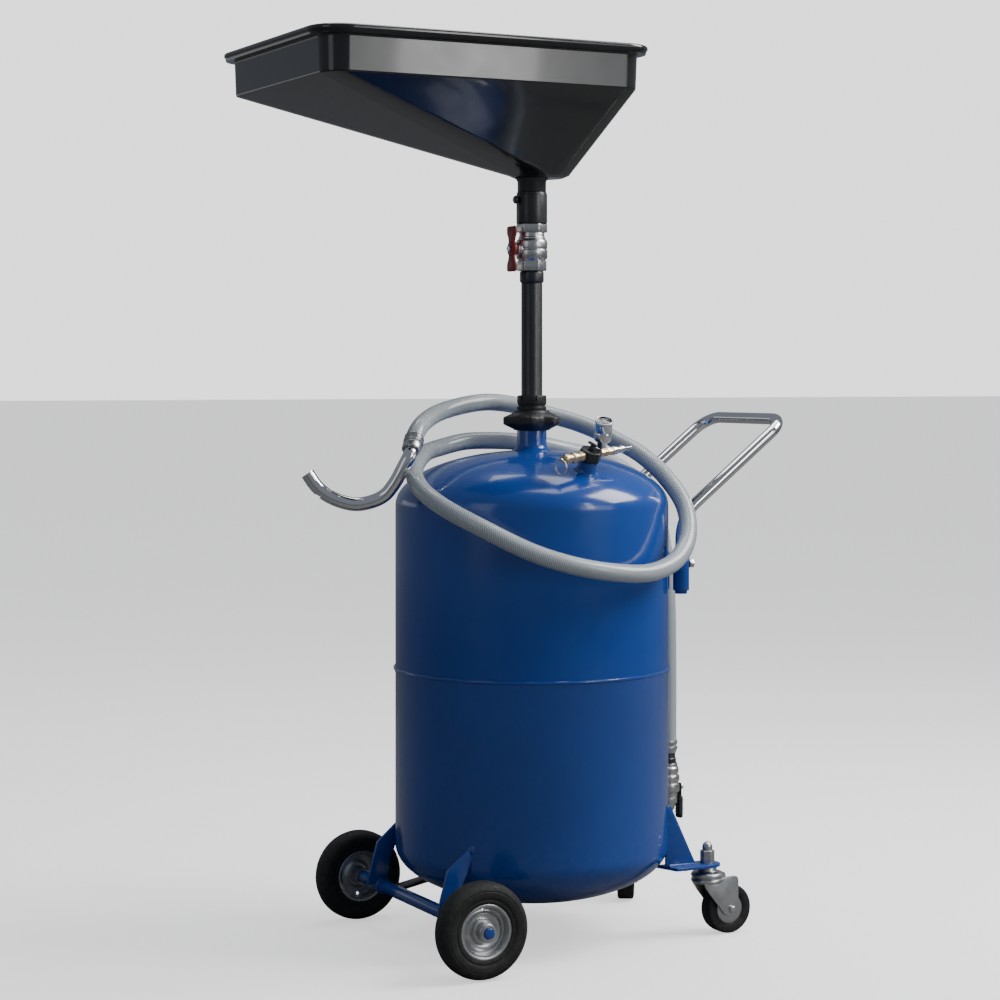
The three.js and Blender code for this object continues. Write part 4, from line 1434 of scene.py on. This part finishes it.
    def _gauge(self, here: Matrix) -> None:
        """Turns the gauge's case in two bands, with its dial, needle and lens.

        Args:
            here: The fittings' frame.
        """
        spot = here @ Matrix.Translation((self.gauge_reach, 0, self.port_height + 7)) @ _euler(
            (0, self.gauge_lean, 0))
        case = ring("gauge_housing", [
            (0.4, 1.7), (4, 1.7), (4, 3), (6.4, 3), (7.2, 4), (7.2, 14), (8, 15), (12, 15.6), (13, 17),
            (13, 29.4), (12.3, 30.2), (11.8, 30.8), (12.3, 31.4), (12.7, 32.4), (12.7, 44.4),
            (13.4, 45.4), (13.4, 48), (12.9, 48.5), (11.9, 48.5), (11.6, 48), (11.6, 43), (0.4, 43)],
            64, 0.25)
        dressed(placed(case, within=spot), CHROME, "tank", "gauge_case")
        dial = turned("gauge_dial", [(0, 43.1), (11.4, 43.1), (11.4, 43.5), (0, 43.5)], 48, 0)
        dressed(placed(dial, within=spot), DIAL_WHITE, "tank")
        marks = [placed(slab(f"mark_{i}", (0.5, 2.2, 0.12), (0, 9.2, 43.6), 0), (0, 0, 0),
                        (0, 0, 135 - 30 * i)) for i in range(10)]
        dressed(placed(welded("dial_marks", *marks), within=spot), NYLON, "tank")
        needle = sheet_metal("gauge_hand", [(-0.9, -3.8), (0.9, -3.8), (0.9, 0), (0.35, 8.6),
                                            (-0.35, 8.6), (-0.9, 0)], 0.4, 0.1)
        boss = turned("gauge_boss", [(0, 0), (1.7, 0), (1.5, 0.55), (0, 0.6)], 24, 0)
        hand = placed(welded("gauge_hand", needle, boss), (0, 0, 44), within=spot)
        dressed(hand, NYLON, "gauge_needle", "gauge_needle")
        lens = turned("gauge_lens", [(0, 45.4), (11.2, 45.4), (11.2, 46.4), (8, 46.8), (0, 47)], 48, 0.2)
        dressed(placed(lens, within=spot), LENS, "tank", "gauge_glass")


# ------------------------------------------------------------------ handle
@dataclass
class PushHandle:
    """The bent chrome tube and the two sockets with their set screws."""

    radius: float = 9.0
    half_width: float = 114.0
    leg_x: float = 199.0
    knee: float = 643.0
    bar_x: float = 390.0
    bar_z: float = 791.0
    bends: Sequence[float] = (70.0, 36.0, 36.0, 70.0)

    def build(self) -> None:
        """Makes and dresses the handle's pieces."""
        foot = lowest("handle_tube").z

        def leg(sign: int, height: float) -> Vector:
            """A corner above one of the sockets."""
            return AXIS + Vector((self.leg_x, sign * self.half_width, height))

        def bar(sign: int) -> Vector:
            """A corner at one end of the cross bar."""
            return AXIS + Vector((self.bar_x, sign * self.half_width, self.bar_z))

        path = bent([leg(-1, foot), leg(-1, self.knee), bar(-1), bar(1), leg(1, self.knee), leg(1, foot)],
                    self.bends, 16)
        dressed(tube("push_handle", path, self.radius, 32), CHROME, "tank", "handle_tube")
        for side in Side:
            self._socket(side)

    def _socket(self, side: Side) -> None:
        """Makes one socket with its web, its weld and its screw.

        Args:
            side: The side of the tank that it is on.
        """
        node = f"handle_socket_{side.word}"
        low, high = lowest(node).z, highest(node).z
        y = side.value * self.half_width
        sleeve = ring("socket_sleeve", [(9.3, low), (11.6, low), (12.4, low + 0.8), (12.4, high - 0.8),
                                        (11.6, high), (9.3, high)], 48, 0.3)
        sleeve = placed(sleeve, (self.leg_x, y, 0))
        bearing = math.atan2(y, self.leg_x)
        web = slab("socket_web", (20, 6, high - low), (0, 0, (high + low) / 2), 1.2)
        web = placed(web, (213 * math.cos(bearing), 213 * math.sin(bearing), 0),
                     (0, 0, math.degrees(bearing)))
        beads = [slab(f"socket_bead_{way}", (3, 3.4, high - low - 4), (0, 0, (high + low) / 2), 1.5)
                 for way in (-1, 1)]
        for way, bead in zip((-1, 1), beads):
            angle = bearing + way * 0.0205
            placed(bead, (210 * math.cos(angle), 210 * math.sin(angle), 0), (0, 0, math.degrees(bearing)))
        bore = turned("socket_bore", [(0, low - 5), (9.3, low - 5), (9.3, high + 5), (0, high + 5)], 48, 0)
        bore = placed(bore, (self.leg_x, y, 0))
        whole = drilled(welded(f"socket_{side.word}", sleeve, web, *beads), bore)
        dressed(placed(whole, AXIS), BLUE, "tank", node)
        screw = f"handle_screw_{side.word}"
        height = middle(screw).z
        head = placed(hex_block("screw_head", 12.6, 7, 0.9), (14, 0, 0), (0, 90, 0))
        washer = turned("screw_washer", [(0, 12.6), (7.4, 12.6), (7.4, 14), (0, 14)], 32, 0.2)
        washer = placed(washer, (0, 0, 0), (0, 90, 0))
        shank = placed(turned("screw_shank", [(0, 9.4), (3, 9.4), (3, 15), (0, 15)], 24, 0), (0, 0, 0),
                       (0, 90, 0))
        bolt = welded(f"socket_screw_{side.word}", head, washer, shank)
        dressed(placed(bolt, AXIS + Vector((self.leg_x, y, height))), ZINC, screw, screw)


# ------------------------------------------------------------------ fixed wheels
@dataclass
class Axle:
    """The axle rod, its gussets with their welds, and the strut under the tank."""

    radius: float = 10.0
    end_radius: float = 7.9
    shoulder: float = 193.0

    def build(self) -> None:
        """Makes and dresses the axle's pieces."""
        spot = middle("axle")
        half = highest("axle").y - spot.y
        rod = turned("axle_rod", [
            (0, -half), (6.9, -half), (self.end_radius, 1.4 - half),
            (self.end_radius, -self.shoulder),
            (self.radius, -self.shoulder), (self.radius, self.shoulder),
            (self.end_radius, self.shoulder), (self.end_radius, half - 1.4), (6.9, half),
            (0, half)], 48, 0.3)
        dressed(placed(rod, spot, (90, 0, 0)), BLUE, "tank", "axle")
        for side in Side:
            self._gusset(side)
        strut = slab("strut_plate", (92, 29, 5), (0, 0, 0), 1.5)
        dressed(placed(strut, AXIS + Vector((-142, 98, 78)), (0, -10.9, 0)), BLACK_PAINT, "tank",
                "axle_strut")

    def _gusset(self, side: Side) -> None:
        """Cuts one gusset plate and lays its weld beads against the tank.

        Args:
            side: The side of the tank that it is on.
        """
        node = f"axle_bracket_{side.word}"
        outline = [(-222, 74), (-216, 100), (-205, 138), (-175, 164), (-168, 169), (-160, 169.4),
                   (-170, 140), (-183, 112), (-186, 90), (-187, 74)]
        plate = placed(sheet_metal("gusset_plate", outline, 6, 1.4), (0, 3, 0), (90, 0, 0))
        y = middle(node).y
        blob = turned("gusset_weld", [(0, -6), (6, -5.2), (8, -2), (8, 2), (6, 5.2), (0, 6)], 32, 1.2)
        blob = placed(blob, (-163.5, 0, 165), (90, 0, 0))
        collar = ring("rod_weld", [(9.8, -5), (12.2, -3.6), (12.9, 0), (12.2, 3.6), (9.8, 5)], 48, 0.8)
        collar = placed(collar, (middle("axle").x - AXIS.x, 0, middle("axle").z), (90, 0, 0))
        gusset = welded(f"gusset_{side.word}", plate, blob, collar)
        dressed(placed(gusset, AXIS + Vector((0, y, 0))), BLUE, "tank", node)


@dataclass
class FixedWheel:
    """One tyre on its pressed rim, with the washer that keeps it on the axle."""

    half_width: float = 18.5
    rim_radius: float = 38.8

    def build(self, side: Side) -> None:
        """Makes and dresses the wheel on one side.

        Args:
            side: The end of the axle that it sits on.
        """
        hub = middle(f"tyre_{side.word}")
        within = Matrix.Translation(hub) @ Matrix.Rotation(-side.value * math.pi / 2, 4, "X")
        body = f"wheel_{side.word}"
        dressed(placed(self._tyre(side), within=within), RUBBER, body, f"tyre_{side.word}")
        dressed(placed(self._rim(side), within=within), ZINC, body, f"rim_{side.word}")
        washer = ring(f"hub_washer_{side.word}", [(8.2, 22.4), (12, 22.4), (12, 24.6), (8.2, 24.6)], 48,
                      0.4)
        dressed(placed(washer, within=within), ZINC, "tank", f"axle_washer_{side.word}")

    def _tyre(self, side: Side) -> bpy.types.Object:
        """Turns the tyre's crowned tread and its ridged side walls.

        Args:
            side: The side of the tank that it is on.

        Returns:
            The tyre, not yet in its place.
        """
        w, r = self.half_width, self.rim_radius + 0.1
        half = [(r, 14.6), (40.4, 16.2), (43, 17.2), (45, 17.4), (45.8, 16.8), (46.8, 16.8), (47.6, 17.6),
                (52, w), (57, w - 0.1), (57.8, w - 0.8), (58.8, w - 0.8), (59.6, w - 0.5), (63, w - 1.6),
                (66, w - 4), (68.2, w - 7.2), (69.4, w - 11), (69.9, w - 15)]
        mirrored = [(radius, -height) for radius, height in reversed(half)]
        return ring(f"wheel_tyre_{side.word}", [*half, *mirrored], 128, 0, 60)

    def _rim(self, side: Side) -> bpy.types.Object:
        """Spins the pressed disc with its steps, its hub and its valve hole.

        Args:
            side: The side of the tank that it is on.

        Returns:
            The rim, not yet in its place.
        """
        r = self.rim_radius
        profile = [(8.3, 22), (12.6, 22), (13.2, 21.2), (13.2, 8), (14.5, 6.4), (17, 6), (19, 7.4),
                   (21.5, 8.6), (25, 8.8), (27, 7.6), (29, 4.8), (31.5, 4), (33, 5), (34.2, 8),
                   (34.8, 13.4), (36, 15.6), (38, 16.4), (39.6, 16.3), (40.2, 15.4), (38.8, 14.6),
                   (r, -14.6), (40.2, -15.4), (39.6, -16.3), (38, -16.4), (36, -15.6), (34.8, -13.4),
                   (34.2, -4), (33, 1.4), (31.5, 0.8), (29, 1.8), (27, 4.4), (25, 5.6), (21.5, 5.4),
                   (19, 4.2), (17, 2.8), (13.2, 2.8), (13.2, -21), (8.3, -21)]
        rim = ring(f"pressed_rim_{side.word}", profile, 96, 0.3, 40)
        hole = turned("valve_hole", [(0, -8), (2.6, -8), (2.6, 14), (0, 14)], 20, 0)
        return drilled(rim, placed(hole, (0, 30.5, 0)))


# ------------------------------------------------------------------ casters
@dataclass
class Caster:
    """One swivel caster under its bolted bracket."""

    trail: float = 33.5
    wheel_radius: float = 38.0
    half_width: float = 13.0
    fork_half: float = 18.0
    plate: float = 5.0

    def build(self, side: Side) -> None:
        """Makes and dresses the caster on one side.

        Args:
            side: The side of the tank that it stands on.
        """
        spot = middle(f"caster_nut_{side.word}")
        spot.z = 0
        hub = middle(f"caster_wheel_{side.word}")
        turn = math.degrees(math.atan2(hub.y - spot.y, hub.x - spot.x))
        self._bracket(side, spot)
        self._nut(side, spot)
        within = Matrix.Translation(spot) @ Matrix.Rotation(math.radians(turn), 4, "Z")
        self._fork(side, within)
        self._wheel(side, within)

    def _bracket(self, side: Side, spot: Vector) -> None:
        """Cuts the tab and its gusset, and lays the welds between them.

        Args:
            side: The side of the tank that it is on.
            spot: The stud's axis on the floor.
        """
        node = f"caster_bracket_{side.word}"
        top = 110.0
        tab_outline = [(-66, -20), (0, -20),
                       *[(20 * math.cos(a), 20 * math.sin(a))
                         for a in (math.radians(-90 + 15 * i) for i in range(1, 12))],
                       (0, 20), (-80, 20)]
        if side is Side.RIGHT:
            tab_outline = [(x, -y) for x, y in reversed(tab_outline)]
        tab = placed(sheet_metal("caster_tab", tab_outline, self.plate, 1.0), (0, 0, top - self.plate))
        web_outline = [(-75, 0), (-23, 0), (-23, 3), (-66, 92), (-70, 94), (-75, 90)]
        web = placed(sheet_metal("caster_web", web_outline, 5, 1.0), (0, 2.5, top), (90, 0, 0))
        beads = [placed(tube(f"web_bead_{way}", [(-70 + 2 * i, way * 3.2, top + 0.8 + 0.3 * (i % 2))
                                                 for i in range(23)], 2.3, 12)) for way in (-1, 1)]
        bolt = placed(hex_block("tab_bolt", 9, 4, 0.7), (-40, 0, top - self.plate - 4))
        bracket = welded(f"caster_arm_{side.word}", tab, web, *beads, bolt)
        dressed(placed(bracket, (spot.x, spot.y, 0)), BLUE, "tank", node)

    def _nut(self, side: Side, spot: Vector) -> None:
        """Makes the washer, the hexagon and the domed cap of the stud's nut.

        Args:
            side: The side of the tank that it is on.
            spot: The stud's axis on the floor.
        """
        foot = 110.2
        washer = turned("cap_washer", [(0, 0), (11.6, 0), (11.6, 1.6), (0, 1.6)], 40, 0.3)
        hexagon = placed(hex_block("cap_hexagon", 20, 17.6, 1.4), (0, 0, 1.6))
        dome = turned("cap_dome", [(0, 18), (7.9, 18), (7.9, 24), (7.5, 26.4), (6.4, 28.8), (4.6, 30.8),
                                   (2.4, 32), (0, 32.4)], 40, 0)
        nut = welded(f"cap_nut_{side.word}", washer, hexagon, dome)
        dressed(placed(nut, (spot.x, spot.y, foot)), ZINC, "tank", f"caster_nut_{side.word}")

    def _fork(self, side: Side, within: Matrix) -> None:
        """Makes the double ball race, the two legs, their bridge and the wheel's bolt.

        Args:
            side: The side of the tank that it is on.
            within: The caster's frame, in millimetres.
        """
        crown = ring("ball_race", [
            (5.9, 80), (21, 80), (24.6, 81.6), (25.6, 84), (24.8, 86.4), (22.6, 87.6), (22.6, 88.6),
            (25, 90), (25.6, 92.6), (24.4, 95), (21.6, 96.6), (15.5, 97.6), (14.6, 99), (14.2, 104.4),
            (5.9, 104.4)], 64, 0.3)
        outline = [(-17, 83), (-15, 76), (-8, 66), (4, 51), (17, 35), (22, 29.6), (27, 27), (33.5, 26),
                   (39, 28), (43, 32), (44.6, 38), (44.8, 60), (45, 82), (43, 88), (36, 90), (20, 89),
                   (0, 84)]
        legs = []
        for way in (-1, 1):
            leg = sheet_metal(f"fork_leg_{way}", outline, 2.6, 0.9)
            legs.append(placed(leg, (0, way * self.fork_half + 1.3, 0), (90, 0, 0)))
        bridge = slab("fork_bridge", (26, 2 * self.fork_half, 3), (4, 0, 82), 1.2)
        bolt = turned("wheel_bolt", [(0, -23), (4.4, -23), (5.6, -21.8), (5.6, -19.6), (4, -19.4),
                                     (4, 19.4), (5.6, 19.6), (5.6, 21.8), (4.4, 23), (0, 23)], 32, 0.2)
        bolt = placed(bolt, (self.trail, 0, self.wheel_radius), (90, 0, 0))
        fork = welded(f"fork_{side.word}", crown, *legs, bridge, bolt)
        body = f"caster_fork_{side.word}"
        dressed(placed(fork, within=within), ZINC, body, body)

    def _wheel(self, side: Side, within: Matrix) -> None:
        """Turns the wheel's tread and its grey hub.

        Args:
            side: The side of the tank that it is on.
            within: The caster's frame, in millimetres.
        """
        w = self.half_width
        half = [(4.4, 15.4), (9, 15.4), (10, w - 1), (13, w - 2.4), (21, w - 3), (23.6, w - 1.2),
                (25, w - 0.4), (34, w), (36.4, w - 0.7), (37.5, w - 2), (37.9, w - 4.5)]
        tread = ring(f"caster_tread_{side.word}",
                     [*half, *[(radius, -height) for radius, height in reversed(half)]], 96, 0, 60)
        at = (self.trail, 0, self.wheel_radius)
        body = f"caster_wheel_{side.word}"
        dressed(placed(tread, at, (90, 0, 0), within), RUBBER, body, body)
        for way in (-1, 1):
            cap = ring(f"hub_disc_{side.word}_{'near' if way < 0 else 'far'}", [
                (5.8, 13.2), (12, 13.4), (18, 12.6), (22.4, 11.4), (22.6, 9.6), (5.8, 9.6)], 64, 0.3)
            dressed(placed(cap, at, (90 * way, 0, 0), within), ZINC, body)


# ------------------------------------------------------------------ outlet
@dataclass
class Outlet:
    """The elbow out of the tank, its ball valve with a hanging grip, and the hose's tail."""

    def build(self) -> None:
        """Makes and dresses the outlet's pieces."""
        top = highest("outlet_elbow").z
        reach = middle("outlet_valve_body")
        height = middle("outlet_elbow").z - 5.5
        x = reach.x - AXIS.x
        path = bent([(200, 0, height), (x, 0, height), (x, 0, top)], [19], 14)
        elbow = tube("outlet_bend", path, 12.6, 32)
        collar = ring("bend_collar", [(12, top - 9), (14.8, top - 9), (14.8, top), (12, top)], 48, 0.5)
        flange = ring("tank_collar", [(12, -6), (17.5, -6), (17.5, 1.5), (12, 1.5)], 48, 0.6)
        elbow = welded("outlet_bend", elbow, placed(collar, (x, 0, 0)),
                       placed(flange, (216, 0, height), (0, 90, 0)))
        dressed(placed(elbow, AXIS), ZINC, "tank", "outlet_elbow")
        self._valve(reach)
        self._tail(reach)

    def _valve(self, spot: Vector) -> None:
        """Turns the valve's three rounded sections, its stem and the hanging grip.

        Args:
            spot: The middle of the valve, in millimetres.
        """
        low, high = lowest("outlet_valve_body").z, highest("outlet_valve_body").z
        body = ring("outlet_valve", [
            (7, low), (14, low), (15.2, low + 1.2), (15.2, low + 6), (17.8, low + 8.6), (18.4, low + 11),
            (18.4, low + 19), (17.4, low + 21.6), (15.8, low + 22.6), (15.8, low + 24), (17.8, low + 25.4),
            (18.3, low + 27.4), (18.3, low + 32.6), (17.2, low + 34.8), (15.6, low + 35.8),
            (15.6, low + 37.2), (16.8, low + 38.4), (17, low + 40), (17, low + 46), (15.6, low + 47.6),
            (15, low + 48.4), (15, high - 0.4), (14.4, high), (7, high)], 64, 0.3)
        dressed(placed(body, (spot.x, 0, 0)), SATIN, "tank", "outlet_valve_body")
        stem_height = middle("outlet_ball").z
        stem = turned("outlet_stem", [(0, 15), (4.4, 15), (4.4, 19), (3, 19.4), (3, 28), (0, 28)], 32, 0.3)
        nut = placed(hex_block("stem_nut", 9, 3.2, 0.5), (22.6, 0, 0), (0, 90, 0))
        stem = welded("outlet_stem", placed(stem, (0, 0, 0), (0, 90, 0)), nut)
        dressed(placed(stem, (spot.x, 0, stem_height)), ZINC, "outlet_lever", "outlet_ball")
        arm = slab("lever_arm", (3, 12, 34), (20.8, 0, -11), 1.2)
        grip = slab("lever_grip", (8, 14, 36), (20.8, 0, -32), 3.0)
        ribs = [slab(f"grip_rib_{i}", (8.8, 14.8, 1.4), (20.8, 0, -21 - 5 * i), 0.6) for i in range(5)]
        lever = welded("outlet_grip", arm, grip, *ribs)
        dressed(placed(lever, (spot.x, 0, stem_height)), NYLON, "outlet_lever", "outlet_lever")

    def _tail(self, spot: Vector) -> None:
        """Turns the hose's black tail and its two bright ferrule rings.

        Args:
            spot: The middle of the valve, in millimetres.
        """
        low, high = highest("outlet_valve_body").z + 0.3, highest("hose_tail").z
        tail = ring("tail", [(6.8, low), (12.6, low), (13, low + 1), (13, low + 7), (11.6, low + 8.4),
                             (11.6, high), (6.8, high)], 48, 0.3)
        dressed(placed(tail, (spot.x, 0, 0)), BLACK_PAINT, "tank", "hose_tail")
        rings = [ring(f"ferrule_{i}", [(13.2, high + 5 + 9 * i), (15, high + 5.4 + 9 * i),
                                       (15.2, high + 8 + 9 * i), (15, high + 10.6 + 9 * i),
                                       (13.2, high + 11 + 9 * i)], 48, 0.3) for i in range(2)]
        dressed(placed(welded("ferrules", *rings), (spot.x, 0, 0)), ZINC, "tank")


def plate_valve_ball() -> None:
    """Gives the ball of the drain valve, which stays as the frame made it, its plated finish."""
    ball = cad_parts["valve_ball"]
    ball.data.materials.clear()
    ball.data.materials.append(CHROME.material())


def main() -> None:
    """Builds the studio, the cord and every sub-assembly in turn."""
    logging.basicConfig(level=logging.INFO, format="%(name)s: %(message)s")
    Studio().build()
    DischargeLine().build()
    tank = Tank()
    tank.build()
    Post().build()
    DrainValve().build()
    CatchPan().build()
    AirFittings().build(tank)
    PushHandle().build()
    Axle().build()
    for side in Side:
        FixedWheel().build(side)
        Caster().build(side)
    Outlet().build()
    plate_valve_ball()
    clear_selection()


if __name__ == "__main__":
    main()
